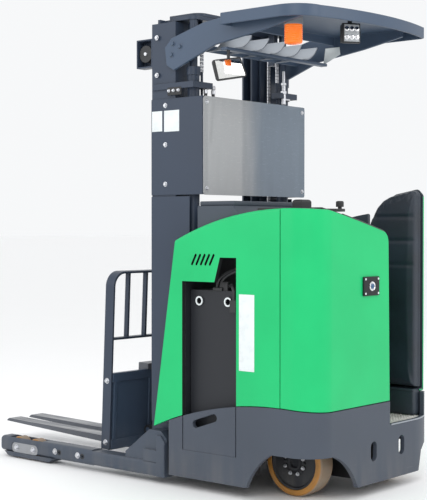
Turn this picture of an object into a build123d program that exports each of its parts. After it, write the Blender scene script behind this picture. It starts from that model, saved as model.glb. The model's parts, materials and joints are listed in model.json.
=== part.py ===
"""Stand-up reach truck with a fixed three-stage mast and a scissor reach carriage.

Millimetres. +X is forward (the way the forks point), +Y is the truck's left and +Z is up.
The origin is on the floor, at the middle of the truck's bounding box.
"""
from build123d import *
import os
from math import asin, atan2, cos, degrees, radians, sin

os.makedirs("parts", exist_ok=True)

# Overall form
BODY_HALF_WIDTH = 545.0
BODY_REAR = 290.0          # rear face of the skirt, behind the drive axle
WALL = 25.0                # skirt and panel thickness
RUN_GAP = 6.0              # clearance between pieces that move past each other
SEAT_GAP = 0.3             # clearance where a moving piece is carried

# Fork carriage, in its own tilted frame that starts at the tilt pin
REST_TILT = 2.5            # degrees, fork tips up
TILT_PIN_AHEAD = 1176.0    # tilt pin, ahead of the drive axle
TILT_PIN_Z = 190.0
FORK_LENGTH = 1150.0
FORK_WIDTH = 100.0
FORK_THICKNESS = 44.0
FORK_SPACING = 186.0       # between the centres of the two forks
FORK_FACE = 92.0           # front face of the fork shanks, ahead of the tilt pin
FORK_BOTTOM = -128.0       # underside of the blades, from the tilt pin
FORK_TIP_THICKNESS = 18.0

tilt_cos = cos(radians(REST_TILT))
tilt_sin = sin(radians(REST_TILT))
tip_ahead = (FORK_FACE + FORK_LENGTH) * tilt_cos - FORK_BOTTOM * tilt_sin
SOUNDER_DEPTH = 22.0       # the sounder is the rearmost piece, on the hood's rear face
AXLE_X = (BODY_REAR + SOUNDER_DEPTH - TILT_PIN_AHEAD - tip_ahead) / 2   # centres the box on the origin


def ahead(distance):
    """X of a point that lies this far ahead of the drive axle."""
    return AXLE_X + distance


# Body panels: heights of the two long curves that divide the side
REAR_X = ahead(-BODY_REAR)
SKIRT_FRONT_X = ahead(656.0)
PANEL_FRONT_TOP_X = ahead(600.0)
PANEL_FRONT_LOW_X = ahead(752.0)
SKIRT_BOTTOM = 60.0
SKIRT_TOP_FRONT = 302.0
SKIRT_TOP_MIDDLE = 424.0
SKIRT_TOP_REAR = 456.0
PANEL_TOP_MIDDLE = 1404.0
PANEL_TOP_FRONT = PANEL_TOP_MIDDLE - 116.0
PANEL_TOP_REAR = PANEL_TOP_MIDDLE + 30.0
PANEL_EDGE = 14.0          # rounding along the panels' outer edges
PANEL_SEAM = 4.0
SEAM_X = ahead(-82.0)      # joint between the side panel and the rear hood
CORNER_RADIUS = 150.0
REAR_RIGHT_Y = -350.0      # the rear face curves forward from here to the right wall
REAR_RIGHT_X = ahead(-236.0)
FRONT_ROUNDING = 18.0      # of the skirt's front edges

# Operator's compartment
HOOD_RIGHT_TOP_Y = -98.0
HOOD_RIGHT_LOW_Y = -116.0
HOOD_ROUNDING = 60.0       # of the hood's upper right edge
HOOD_TOP_RIGHT_Z = PANEL_TOP_MIDDLE - 82.0
HOOD_FRONT_X = ahead(168.0)
FLOOR_Z = 340.0
MAT_THICKNESS = 15.0
RIGHT_WALL_DEPTH = 45.0
WALL_INNER_Y = RIGHT_WALL_DEPTH - BODY_HALF_WIDTH
WALL_SHELL = 12.0          # thickness of the wall behind the pad
WALL_REAR_X = ahead(-232.0)
WALL_FRONT_X = ahead(112.0)
WALL_TOP_Z = PANEL_TOP_MIDDLE + 156.0
PAD_THICKNESS = 75.0
PAD_BOTTOM_Z = 484.0
KICK_DEPTH = 48.0          # panel below the pad

# Battery and its opening in the side panels
BATTERY_REAR_X = ahead(196.0)
BATTERY_LENGTH = 350.0
BATTERY_SIDE_GAP = 61.0    # from the body's side to the battery's end
BATTERY_HALF_WIDTH = BODY_HALF_WIDTH - BATTERY_SIDE_GAP
BATTERY_BOTTOM = 215.0
BATTERY_HEIGHT = PANEL_TOP_MIDDLE - 589.0
OPENING_REAR_X = ahead(190.0)
OPENING_FRONT_X = ahead(551.0)
OPENING_STEP_X = ahead(333.0)
OPENING_TOP_REAR = PANEL_TOP_MIDDLE - 204.0
OPENING_TOP_FRONT = PANEL_TOP_MIDDLE - 329.0
VENT_Z = PANEL_TOP_MIDDLE - 216.0
VENT_PITCH = 30.0
GATE_BOTTOM = 205.0

# Frame plates
DECK_BOTTOM = 300.0
DECK_TOP = FLOOR_Z - MAT_THICKNESS
BULKHEAD_X = (ahead(172.0), ahead(190.0))
FRONT_PLATE_X = (ahead(656.0), ahead(676.0))
BAY_FRONT_X = (ahead(554.0), ahead(564.0))   # wall between the battery and the mast
FRAME_HALF_WIDTH = BODY_HALF_WIDTH - WALL - 5.0
FRAME_TOP = 700.0
TRAY_BOTTOM = 190.0
TRAY_RAIL_BOTTOM = 100.0
BULKHEAD_TOP = OPENING_TOP_REAR - 140.0

# Base legs and load wheels
LEG_WIDTH = 98.0
LEG_OUTER_Y = BODY_HALF_WIDTH
LEG_INNER_Y = LEG_OUTER_Y - LEG_WIDTH
LEG_BOTTOM = 38.0
LEG_TOP = 114.0
TIP_START_X = ahead(1232.0)
TIP_END_X = ahead(2010.0)
TIP_PROUD = 6.0            # tip casting stands this much above and below the beam
GUSSET_TOP = 280.0
LOAD_WHEEL_RADIUS = 62.5
LOAD_WHEEL_WIDTH = 58.0
LOAD_WHEEL_X = (ahead(1716.0), ahead(1860.0))
LOAD_PIN_RADIUS = 14.0
WHEEL_WINDOW = 10.0        # room round the load wheels in the tip
CASING_BOTTOM = 9.0        # underside of the tip beside the load wheels
AXLE_PLATE = (172.0, 58.0) # straight length and height of the oblong axle plate

# Drive wheel, turret and caster
DRIVE_RADIUS = 171.5
DRIVE_WIDTH = 114.0
DRIVE_Y = 270.0
DRIVE_RIM_RADIUS = 138.0
NUT_CIRCLE = 60.0
TURRET_RADIUS = 150.0
TURRET_TOP = 396.0
TURRET_THICKNESS = 26.0
ARCH_TOP = 242.0
ARCH_CORNER_Y = BODY_HALF_WIDTH - 149.0      # the side's arch meets the rear's here
MOTOR_RADIUS = 84.0
MOTOR_HEIGHT = 300.0
CASTER_X = ahead(-48.0)
CASTER_Y = -352.0
CASTER_RADIUS = 90.0
CASTER_WIDTH = 70.0
CASTER_TRAIL = 45.0
AXLE_PIN_RADIUS = 16.0

# Mast: each stage's rail depth (x) and width (y) nests inside the one before
MAST_FRONT_X = ahead(862.0)
MAST_REAR_X = ahead(692.0)
MAST_LEG_GAP = 7.0
MAST_HALF_WIDTH = LEG_INNER_Y - MAST_LEG_GAP
RAIL_WEB = 14.0
RAIL_FLANGE = 16.0
RAIL_WIDTH = 70.0
STAGE_GAP = 8.0            # between one stage's rail and the next
MAST_BOTTOM = 96.0
MAST_TOP = 2440.0
STAGE_RISE = 25.0          # each stage's top stands this much above the one outside it
TIE_DEPTH = 16.0
INNER_FLANGE = 12.0
CYLINDER_X = ahead(612.0)
CYLINDER_Y = MAST_HALF_WIDTH - 54.0
CYLINDER_RADIUS = 32.0
CYLINDER_BORE = 25.0
LIFT_ROD_RADIUS = 21.0
CYLINDER_BOTTOM = 240.0
CYLINDER_TOP = 2200.0
CHAIN_Y = MAST_HALF_WIDTH - 113.0
CHAIN_WIDTH = 26.0
SHEAVE_RADIUS = 30.0
SHEAVE_X = ahead(636.0)
SHEAVE_Z = 2300.0

# Scissor reach
PIVOT_REAR_X = ahead(906.0)
PIVOT_FRONT_X = ahead(1086.0)
LOW_PIN_Z = 166.6          # lower reach pins at rest
ARM_LENGTH = 760.0
REACH_SWING = 48.0         # degrees that the arms swing out
ARM_WIDTH = 66.0
ARM_THICKNESS = 22.0
ARM_OUTER_Y = MAST_HALF_WIDTH - 320.0   # outer face of the outer arms
REACH_PIN_RADIUS = 15.0
CHEEK_THICKNESS = 22.0
SLOT_SPARE = 14.0          # slot left above the lower pins at full reach
REACH_PLATE_DEPTH = 62.0

# Overhead guard and shield
GUARD_HALF_WIDTH = BODY_HALF_WIDTH - 5.0
GUARD_FRONT_X = ahead(300.0)
GUARD_REAR_X = ahead(-290.0)
GUARD_TOP = 2428.0
GUARD_RIM = 59.0
GUARD_PLATE = 12.0
GUARD_LEFT_CORNER = 150.0
GUARD_RIGHT_CORNER = 34.0
WEB_THICKNESS = 20.0
SHIELD_X = ahead(494.0)
SHIELD_THICKNESS = 6.0
SHIELD_BOTTOM = 1522.0
SHIELD_TOP = 2036.0

# The arms' upper pins and the lower pins' climb in their slots follow from the arms' length and swing
rest_angle = asin((PIVOT_FRONT_X - PIVOT_REAR_X) / ARM_LENGTH)
PIVOT_Z = LOW_PIN_Z + ARM_LENGTH * cos(rest_angle)
slot_rise = ARM_LENGTH * (cos(rest_angle) - cos(rest_angle + radians(REACH_SWING))) + SLOT_SPARE


def side_plane(y):
    """Plane seen from the truck's right: local x is forward, local y is up."""
    return Plane(origin=(0, y, 0), x_dir=(1, 0, 0), z_dir=(0, -1, 0))


def rear_plane(x):
    """Plane seen from in front: local x is the truck's left, local y is up."""
    return Plane(origin=(x, 0, 0), x_dir=(0, 1, 0), z_dir=(1, 0, 0))


def span_box(x, y, z, mode=Mode.ADD):
    """Block between two limits along each axis."""
    with Locations(((x[0] + x[1]) / 2, (y[0] + y[1]) / 2, (z[0] + z[1]) / 2)):
        Box(x[1] - x[0], y[1] - y[0], z[1] - z[0], mode=mode)


def pin_y(x, z, radius, y, mode=Mode.ADD):
    """Round pin or bore across the truck, between two limits of y."""
    with BuildSketch(Plane(origin=(x, y[0], z), x_dir=(1, 0, 0), z_dir=(0, 1, 0))) as section:
        Circle(radius)
    extrude(section.sketch, amount=y[1] - y[0], mode=mode)


def pin_z(x, y, radius, z, mode=Mode.ADD):
    """Upright round post or bore between two heights."""
    with BuildSketch(Plane(origin=(x, y, z[0]))) as section:
        Circle(radius)
    extrude(section.sketch, amount=z[1] - z[0], mode=mode)


def side_prism(points, y, mode=Mode.ADD):
    """Prism across the truck from a side outline of (x, z) corners."""
    with BuildSketch(side_plane(y[1])) as outline:
        with BuildLine():
            Polyline(*points, close=True)
        make_face()
    extrude(outline.sketch, amount=y[1] - y[0], mode=mode)


def body_plan(inset, front_x, low, high, mode=Mode.ADD):
    """Column of the body's plan outline, drawn in by an inset, between two heights."""
    half = BODY_HALF_WIDTH - inset
    rear = REAR_X + inset
    right_x = REAR_RIGHT_X + inset * 0.5
    corner = CORNER_RADIUS - inset
    with BuildSketch(Plane.XY.offset(low)) as plan:
        with BuildLine():
            Line((front_x, half), (rear + corner, half))
            RadiusArc((rear + corner, half), (rear, half - corner), -corner)
            Line((rear, half - corner), (rear, REAR_RIGHT_Y))
            rear_curve = TangentArc((rear, REAR_RIGHT_Y), (right_x, -half), tangent=(0, -1))
            Line(rear_curve @ 1, (front_x, -half))
            Line((front_x, -half), (front_x, half))
        make_face()
    extrude(plan.sketch, amount=high - low, mode=mode)


def side_band(low_points, high_points, mode):
    """Keep or cut what lies between two side curves, each an arc through three points."""
    with BuildSketch(side_plane(2 * BODY_HALF_WIDTH)) as band:
        with BuildLine():
            low_arc = ThreePointArc(*low_points)
            high_arc = ThreePointArc(*high_points)
            Line(low_arc @ 0, high_arc @ 0)
            Line(low_arc @ 1, high_arc @ 1)
        make_face()
    extrude(band.sketch, amount=4 * BODY_HALF_WIDTH, mode=mode)


# Arcs that bound the skirt and the green panels in the side view, front to rear
skirt_arc = (
    (PANEL_FRONT_LOW_X, SKIRT_TOP_FRONT),
    (ahead(380.0), SKIRT_TOP_MIDDLE),
    (REAR_X - WALL, SKIRT_TOP_REAR),
)
floor_arc = tuple((x, z) for x, z in (
    (PANEL_FRONT_LOW_X, SKIRT_BOTTOM - 2),
    (ahead(380.0), SKIRT_BOTTOM - 1),
    (REAR_X - WALL, SKIRT_BOTTOM - 2),
))
panel_low_arc = tuple((x, z + PANEL_SEAM) for x, z in skirt_arc)
panel_top_arc = (
    (PANEL_FRONT_TOP_X, PANEL_TOP_FRONT),
    (ahead(250.0), PANEL_TOP_MIDDLE),
    (REAR_X - WALL, PANEL_TOP_REAR),
)

# Skirt: hollow lower body with the wheel arch, gate cut-outs and rear slots
with BuildPart() as skirt:
    body_plan(0, SKIRT_FRONT_X, SKIRT_BOTTOM, SKIRT_TOP_REAR + WALL)
    body_plan(WALL, SKIRT_FRONT_X + WALL, 0, SKIRT_TOP_REAR + 2 * WALL, Mode.SUBTRACT)
    side_band(floor_arc, skirt_arc, Mode.INTERSECT)
    # The arch runs from the left side round the rear corner
    with BuildSketch(side_plane(2 * BODY_HALF_WIDTH)):
        with BuildLine():
            arch_front = ThreePointArc((ahead(136.0), 30.0), (ahead(64.0), 166.0), (ahead(-30.0), ARCH_TOP))
            Polyline(arch_front @ 1, (REAR_X - WALL, ARCH_TOP), (REAR_X - WALL, 0), (ahead(136.0), 0), arch_front @ 0)
        make_face()
    extrude(amount=2 * BODY_HALF_WIDTH - ARCH_CORNER_Y, mode=Mode.SUBTRACT)
    with BuildSketch(rear_plane(REAR_X - WALL)):
        with BuildLine():
            arch_rear = ThreePointArc((ARCH_CORNER_Y - 10, ARCH_TOP), (ARCH_CORNER_Y - 128, 180.0),
                                      (ARCH_CORNER_Y - 232, 30.0))
            Polyline(arch_rear @ 1, (ARCH_CORNER_Y - 232, 0), (ARCH_CORNER_Y + 1, 0), (ARCH_CORNER_Y + 1, ARCH_TOP), arch_rear @ 0)
        make_face()
    extrude(amount=3 * WALL, mode=Mode.SUBTRACT)
    # The compartment's sill is lower than the panels' seam
    span_box((REAR_X - WALL, HOOD_FRONT_X), (WALL_INNER_Y, HOOD_RIGHT_LOW_Y),
             (FLOOR_Z, 2 * FLOOR_Z), Mode.SUBTRACT)
    # The low corner on the right is cut up for the caster
    with BuildSketch(rear_plane(REAR_X - WALL)):
        with BuildLine():
            Polyline((-BODY_HALF_WIDTH - WALL, 0), (145 - BODY_HALF_WIDTH, 0),
                     (145 - BODY_HALF_WIDTH, SKIRT_BOTTOM - 4), (105 - BODY_HALF_WIDTH, 165.0),
                     (55 - BODY_HALF_WIDTH, 188.0), (-BODY_HALF_WIDTH - WALL, 196.0), close=True)
        make_face()
    extrude(amount=HOOD_FRONT_X - REAR_X, mode=Mode.SUBTRACT)
    for side in (1, -1):
        gate_y = sorted((side * (BODY_HALF_WIDTH - 2 * WALL), side * (BODY_HALF_WIDTH + WALL)))
        span_box((OPENING_REAR_X, OPENING_FRONT_X), gate_y,
                 (GATE_BOTTOM - SEAT_GAP, SKIRT_TOP_REAR + WALL), Mode.SUBTRACT)
    for slot_y in (34.0, -227.0):
        with BuildSketch(Plane(origin=(REAR_X - WALL, slot_y, 222.0), x_dir=(0, 1, 0), z_dir=(1, 0, 0))):
            SlotOverall(100.0, 54.0, rotation=90)
        extrude(amount=3 * WALL, mode=Mode.SUBTRACT)
    front_edges = skirt.edges().filter_by(Axis.Z).filter_by(
        lambda edge: abs(edge.center().X - SKIRT_FRONT_X) < 1 and abs(abs(edge.center().Y) - BODY_HALF_WIDTH) < 1)
    fillet(front_edges, radius=FRONT_ROUNDING)
skirt.part.label = "skirt"
export_step(skirt.part, "parts/skirt.step")

# Battery gates: lift-out plates in the skirt below the battery opening
with BuildPart() as battery_gate_left:
    gate_y = (BODY_HALF_WIDTH - WALL, BODY_HALF_WIDTH)
    span_box((OPENING_REAR_X + RUN_GAP, OPENING_FRONT_X - RUN_GAP), gate_y,
             (GATE_BOTTOM, SKIRT_TOP_REAR))
    side_band(floor_arc, skirt_arc, Mode.INTERSECT)
    # Hand slot, parallel to the gate's slanting top edge
    with BuildSketch(Plane(origin=(ahead(398.0), BODY_HALF_WIDTH + WALL, 366.0),
                           x_dir=(1, 0, 0), z_dir=(0, -1, 0))):
        SlotOverall(170.0, 40.0, rotation=-19)
    extrude(amount=4 * WALL, mode=Mode.SUBTRACT)
battery_gate_left.part.label = "battery_gate_left"
export_step(battery_gate_left.part, "parts/battery_gate_left.step")

with BuildPart() as battery_gate_right:
    mirror(battery_gate_left.part, about=Plane.XZ)
battery_gate_right.part.label = "battery_gate_right"
export_step(battery_gate_right.part, "parts/battery_gate_right.step")

# Green side panels with the stepped battery opening and five slanting vents
with BuildPart() as side_panel_left:
    span_box((SEAM_X, PANEL_FRONT_LOW_X), (BODY_HALF_WIDTH - WALL, BODY_HALF_WIDTH),
             (SKIRT_TOP_FRONT, PANEL_TOP_REAR + WALL))
    side_band(panel_low_arc, panel_top_arc, Mode.INTERSECT)
    side_prism(((OPENING_REAR_X, 0), (OPENING_REAR_X, OPENING_TOP_REAR),
                (OPENING_STEP_X, OPENING_TOP_REAR), (OPENING_STEP_X, OPENING_TOP_FRONT),
                (OPENING_FRONT_X, OPENING_TOP_FRONT), (OPENING_FRONT_X, 0)),
               (BODY_HALF_WIDTH - 2 * WALL, BODY_HALF_WIDTH + WALL), Mode.SUBTRACT)
    for index in range(5):
        vent_x = OPENING_STEP_X + 17.0 + index * VENT_PITCH
        with BuildSketch(Plane(origin=(vent_x, BODY_HALF_WIDTH + WALL, VENT_Z),
                               x_dir=(1, 0, 0), z_dir=(0, -1, 0))):
            SlotOverall(66.0, 13.0, rotation=118)
        extrude(amount=4 * WALL, mode=Mode.SUBTRACT)
    outer_rim = side_panel_left.faces().sort_by(Axis.Y)[-1].outer_wire().edges()
    fillet(outer_rim.group_by(Axis.Z)[-1], radius=PANEL_EDGE)
side_panel_left.part.label = "side_panel_left"
export_step(side_panel_left.part, "parts/side_panel_left.step")

with BuildPart() as side_panel_right:
    mirror(side_panel_left.part, about=Plane.XZ)
    span_box((REAR_X, WALL_FRONT_X + PANEL_SEAM), (-2 * BODY_HALF_WIDTH, 0), (0, 2 * PANEL_TOP_REAR),
             Mode.SUBTRACT)
side_panel_right.part.label = "side_panel_right"
export_step(side_panel_right.part, "parts/side_panel_right.step")

# Rear hood: moulded cover over the drive unit, open below
with BuildPart() as hood:
    body_plan(0, HOOD_FRONT_X, SKIRT_BOTTOM, PANEL_TOP_REAR + WALL)
    side_band(panel_low_arc, panel_top_arc, Mode.INTERSECT)
    with BuildSketch(rear_plane(REAR_X - WALL)):
        with BuildLine():
            top_edge = ThreePointArc((BODY_HALF_WIDTH, PANEL_TOP_REAR + WALL), (237.0, PANEL_TOP_MIDDLE - 6.0),
                                     (HOOD_RIGHT_TOP_Y, HOOD_TOP_RIGHT_Z))
            right_edge = Line(top_edge @ 1, (HOOD_RIGHT_LOW_Y, FLOOR_Z))
            low_line = Line(right_edge @ 1, (BODY_HALF_WIDTH, FLOOR_Z))
            Line(low_line @ 1, top_edge @ 0)
        rear_face = make_face()
        fillet(rear_face.vertices().sort_by_distance((HOOD_RIGHT_TOP_Y, HOOD_TOP_RIGHT_Z))[0], radius=HOOD_ROUNDING)
    extrude(amount=HOOD_FRONT_X - REAR_X + 2 * WALL, mode=Mode.INTERSECT)
    # The side panel laps the hood's front half
    span_box((SEAM_X - PANEL_SEAM, HOOD_FRONT_X + WALL),
             (BODY_HALF_WIDTH - WALL - SEAT_GAP, BODY_HALF_WIDTH + WALL), (0, 2 * PANEL_TOP_REAR),
             Mode.SUBTRACT)
    span_box((REAR_X + 2 * WALL, HOOD_FRONT_X - WALL), (HOOD_RIGHT_TOP_Y + WALL, BODY_HALF_WIDTH - 3 * WALL),
             (0, HOOD_TOP_RIGHT_Z - 4 * WALL), Mode.SUBTRACT)
    # Kick wall: the right face goes on down to the deck inside the skirt
    kick_lean = (HOOD_RIGHT_TOP_Y - HOOD_RIGHT_LOW_Y) / (HOOD_TOP_RIGHT_Z - FLOOR_Z)
    kick_top = SKIRT_TOP_REAR + 2 * WALL
    kick_top_y = HOOD_RIGHT_LOW_Y + kick_lean * (kick_top - FLOOR_Z)
    kick_low_y = HOOD_RIGHT_LOW_Y + kick_lean * (DECK_TOP - FLOOR_Z)
    with BuildSketch(rear_plane(REAR_X + WALL + SEAT_GAP)):
        with BuildLine():
            Polyline((kick_low_y, DECK_TOP), (kick_top_y, kick_top), (kick_top_y + WALL, kick_top),
                     (kick_low_y + WALL, DECK_TOP), close=True)
        make_face()
    extrude(amount=HOOD_FRONT_X - REAR_X - WALL - SEAT_GAP)
hood.part.label = "hood"
export_step(hood.part, "parts/hood.step")

# Frame: deck, bulkhead, battery tray, front plate and drive bracket
bracket_low = TURRET_TOP + SEAT_GAP
frame_y = (-FRAME_HALF_WIDTH, FRAME_HALF_WIDTH)
with BuildPart() as chassis_frame:
    body_plan(WALL, HOOD_FRONT_X, DECK_BOTTOM, DECK_TOP)
    span_box((HOOD_FRONT_X, BULKHEAD_X[1]), frame_y, (TRAY_BOTTOM, BULKHEAD_TOP))
    span_box((HOOD_FRONT_X, FRONT_PLATE_X[0]), frame_y, (TRAY_BOTTOM, BATTERY_BOTTOM))
    span_box(FRONT_PLATE_X, frame_y, (SKIRT_BOTTOM, FRAME_TOP))
    span_box(BAY_FRONT_X, frame_y, (TRAY_BOTTOM, OPENING_TOP_REAR + WALL))
    for rail_y in (-400.0, -60.0, 60.0, 400.0):
        span_box((HOOD_FRONT_X, FRONT_PLATE_X[0]), (rail_y - 20, rail_y + 20), (TRAY_RAIL_BOTTOM, TRAY_BOTTOM))
    # Boxed bracket that carries the drive turret, open below for the wheel's sweep
    span_box((ahead(-236.0), HOOD_FRONT_X), (DRIVE_Y - 130, DRIVE_Y + 130), (DECK_BOTTOM, bracket_low + 20))
    wheel_sweep = (DRIVE_RADIUS ** 2 + (DRIVE_WIDTH / 2) ** 2) ** 0.5
    pin_z(ahead(0.0), DRIVE_Y, wheel_sweep + 2 * RUN_GAP, (0, bracket_low), Mode.SUBTRACT)
    pin_z(ahead(0.0), DRIVE_Y, MOTOR_RADIUS + RUN_GAP, (bracket_low - 1, bracket_low + 30), Mode.SUBTRACT)
chassis_frame.part.label = "chassis_frame"
export_step(chassis_frame.part, "parts/chassis_frame.step")

# Compartment floor: one rubber mat on the deck
with BuildPart() as floor_mat:
    body_plan(WALL + 5.0, HOOD_FRONT_X - 2.0, DECK_TOP, FLOOR_Z)
    span_box((REAR_X - WALL, HOOD_FRONT_X), (HOOD_RIGHT_LOW_Y - 4, 2 * BODY_HALF_WIDTH),
             (0, 2 * FLOOR_Z), Mode.SUBTRACT)
    span_box((REAR_X - WALL, HOOD_FRONT_X), (-2 * BODY_HALF_WIDTH, WALL_INNER_Y + 4), (0, 2 * FLOOR_Z),
             Mode.SUBTRACT)
floor_mat.part.label = "floor_mat"
export_step(floor_mat.part, "parts/floor_mat.step")

# Right wall of the compartment: green outer shell that carries the lean pad
# Upper front edge of the wall: ahead of the drive axle, below the wall's top
WALL_BROW = ((-59.0, 26.0), (-9.0, 50.0), (30.0, 87.0), (70.0, 154.0))


def wall_outline(inset, low):
    """Side outline of the right wall above a height, drawn in by an inset."""
    rear = WALL_REAR_X + inset
    top = WALL_TOP_Z - inset
    brow = [(ahead(distance) - inset * 0.5, top - drop) for distance, drop in WALL_BROW]
    front = WALL_FRONT_X - inset
    return [(rear, low), (rear, top - 34), (rear + 34, top), *brow, (front, top - 250), (front, low)]


with BuildPart() as operator_wall:
    side_prism(wall_outline(0, FLOOR_Z + 60), (-BODY_HALF_WIDTH, WALL_INNER_Y))
    side_band(panel_low_arc, tuple((x, z + 400) for x, z in panel_top_arc), Mode.INTERSECT)
    # Foot that stands on the deck inside the skirt
    span_box((WALL_REAR_X + 50, WALL_FRONT_X), (-BODY_HALF_WIDTH + WALL + SEAT_GAP, WALL_INNER_Y),
             (DECK_TOP, SKIRT_TOP_REAR + 24))
    # The pad is let into the wall above its foot
    span_box((WALL_REAR_X - 1, WALL_FRONT_X + 1), (WALL_SHELL - BODY_HALF_WIDTH, WALL_INNER_Y + 1),
             (PAD_BOTTOM_Z, 2 * WALL_TOP_Z), Mode.SUBTRACT)
operator_wall.part.label = "operator_wall"
export_step(operator_wall.part, "parts/operator_wall.step")

# Lean pad that fills the inner side of the wall
with BuildPart() as lean_pad:
    pad_y = WALL_SHELL - BODY_HALF_WIDTH
    side_prism(wall_outline(3.0, PAD_BOTTOM_Z), (pad_y, pad_y + PAD_THICKNESS))
    fillet(lean_pad.faces().sort_by(Axis.Y)[-1].edges(), radius=12.0)
lean_pad.part.label = "lean_pad"
export_step(lean_pad.part, "parts/lean_pad.step")

# Kick panel between the pad and the floor
with BuildPart() as kick_panel:
    span_box((WALL_REAR_X + 50, WALL_FRONT_X), (WALL_INNER_Y, WALL_INNER_Y + KICK_DEPTH),
             (FLOOR_Z, PAD_BOTTOM_Z - 2))
    fillet(kick_panel.faces().sort_by(Axis.Y)[-1].edges().filter_by(Axis.X, reverse=False), radius=8.0)
kick_panel.part.label = "kick_panel"
export_step(kick_panel.part, "parts/kick_panel.step")

# Cowl between the hood and the mast, above the battery
with BuildPart() as cowl:
    cowl_half = BODY_HALF_WIDTH - WALL - SEAT_GAP
    cowl_low = OPENING_TOP_REAR + WALL
    cowl_top = PANEL_TOP_MIDDLE + 58.0
    cowl_front = ahead(470.0)
    side_prism(((HOOD_FRONT_X, cowl_low), (HOOD_FRONT_X, cowl_top - 70), (HOOD_FRONT_X + 68, cowl_top),
                (cowl_front, cowl_top), (cowl_front, cowl_low)), (-cowl_half, cowl_half))
    side_prism(((BULKHEAD_X[1], cowl_low - 60), (BULKHEAD_X[1], cowl_top - 86),
                (HOOD_FRONT_X + 78, cowl_top - 18), (cowl_front - 18, cowl_top - 18),
                (cowl_front - 18, cowl_low - 60)),
               (-cowl_half + 18, cowl_half - 18), Mode.SUBTRACT)
cowl.part.label = "cowl"
export_step(cowl.part, "parts/cowl.step")

# Battery with two lifting eyes on each end
with BuildPart() as battery:
    battery_x = (BATTERY_REAR_X, BATTERY_REAR_X + BATTERY_LENGTH)
    battery_top = BATTERY_BOTTOM + BATTERY_HEIGHT
    span_box(battery_x, (-BATTERY_HALF_WIDTH, BATTERY_HALF_WIDTH), (BATTERY_BOTTOM, battery_top))
    for eye_x in (ahead(288.0), ahead(480.0)):
        pin_y(eye_x, battery_top - 56.0, 24.0, (-BATTERY_HALF_WIDTH - 8, BATTERY_HALF_WIDTH + 8))
        for side in (1, -1):
            eye_y = sorted((side * (BATTERY_HALF_WIDTH - 30), side * (BATTERY_HALF_WIDTH + 9)))
            pin_y(eye_x, battery_top - 56.0, 16.0, eye_y, Mode.SUBTRACT)
battery.part.label = "battery"
export_step(battery.part, "parts/battery.step")

# Battery lead: from the block on the battery's top edge, over and down to the connector
lead_y = BATTERY_HALF_WIDTH - 22.0
lead_radius = 10.0
lead_points = (
    (ahead(310.0), lead_y, battery_top + 20.0),
    (ahead(286.0), lead_y + 6.0, battery_top + 28.0),
    (ahead(258.0), lead_y + 28.0, battery_top + 24.0),
    (ahead(240.0), lead_y + 37.0, battery_top - 4.0),
    (ahead(240.0), lead_y + 37.0, battery_top - 50.0),
)
with BuildPart() as battery_lead:
    with BuildLine() as lead_path:
        FilletPolyline(*lead_points, radius=[26.0, 30.0, 34.0])
    with BuildSketch(Plane(origin=lead_path.line @ 0, z_dir=lead_path.line % 0)):
        Circle(lead_radius)
    sweep()
    span_box((ahead(300.0), ahead(344.0)), (lead_y - 24, lead_y + 18), (battery_top, battery_top + 44))
    span_box((ahead(220.0), ahead(260.0)), (BATTERY_HALF_WIDTH, BATTERY_HALF_WIDTH + 28),
             (battery_top - 106, battery_top - 44))
battery_lead.part.label = "battery_lead"
export_step(battery_lead.part, "parts/battery_lead.step")

# Control deck: black moulding that follows the hood's sloping top
console_z = PANEL_TOP_MIDDLE
with BuildPart() as control_deck:
    with BuildSketch(rear_plane(REAR_X + 40)):
        with BuildLine():
            deck_low = ThreePointArc((430.0, console_z - 44), (190.0, console_z - 84), (-50.0, console_z - 132))
            deck_high = ThreePointArc((430.0, console_z + 46), (190.0, console_z), (-50.0, console_z - 58))
            Line(deck_low @ 0, deck_high @ 0)
            Line(deck_low @ 1, deck_high @ 1)
        make_face()
    extrude(amount=HOOD_FRONT_X - REAR_X - 60)
    add(hood.part, mode=Mode.SUBTRACT)
control_deck.part.label = "control_deck"
export_step(control_deck.part, "parts/control_deck.step")

# Hand controls: a steering disc with its spinner, and a grip for lift and reach
STEER_X, STEER_Y = ahead(-70.0), 150.0
GRIP_X, GRIP_Y = ahead(40.0), 200.0
with BuildPart() as hand_controls:
    pin_z(STEER_X, STEER_Y, 30.0, (console_z - 54, console_z + 32))
    pin_z(STEER_X, STEER_Y, 100.0, (console_z + 28, console_z + 42))
    pin_z(STEER_X - 55.0, STEER_Y - 50.0, 10.0, (console_z + 40, console_z + 58))
    pin_z(STEER_X - 55.0, STEER_Y - 50.0, 20.0, (console_z + 52, console_z + 82))
    fillet(hand_controls.edges().filter_by(GeomType.CIRCLE).group_by(Axis.Z)[-1], radius=8.0)
    pin_z(GRIP_X, GRIP_Y, 16.0, (console_z - 54, console_z + 56))
    with Locations((GRIP_X, GRIP_Y, console_z + 68)):
        Box(60.0, 84.0, 44.0)
    fillet(hand_controls.edges().group_by(Axis.Z)[-1], radius=14.0)
    add(control_deck.part, mode=Mode.SUBTRACT)
    add(hood.part, mode=Mode.SUBTRACT)
hand_controls.part.label = "hand_controls"
export_step(hand_controls.part, "parts/hand_controls.step")

# Display: small wedge at the deck's right edge
with BuildPart() as display:
    side_prism(((ahead(-190.0), console_z - 104), (ahead(-190.0), console_z - 32),
                (ahead(-60.0), console_z + 4), (ahead(-30.0), console_z - 104)), (6.0, 92.0))
    add(hood.part, mode=Mode.SUBTRACT)
    add(control_deck.part, mode=Mode.SUBTRACT)
display.part.label = "display"
export_step(display.part, "parts/display.step")

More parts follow.
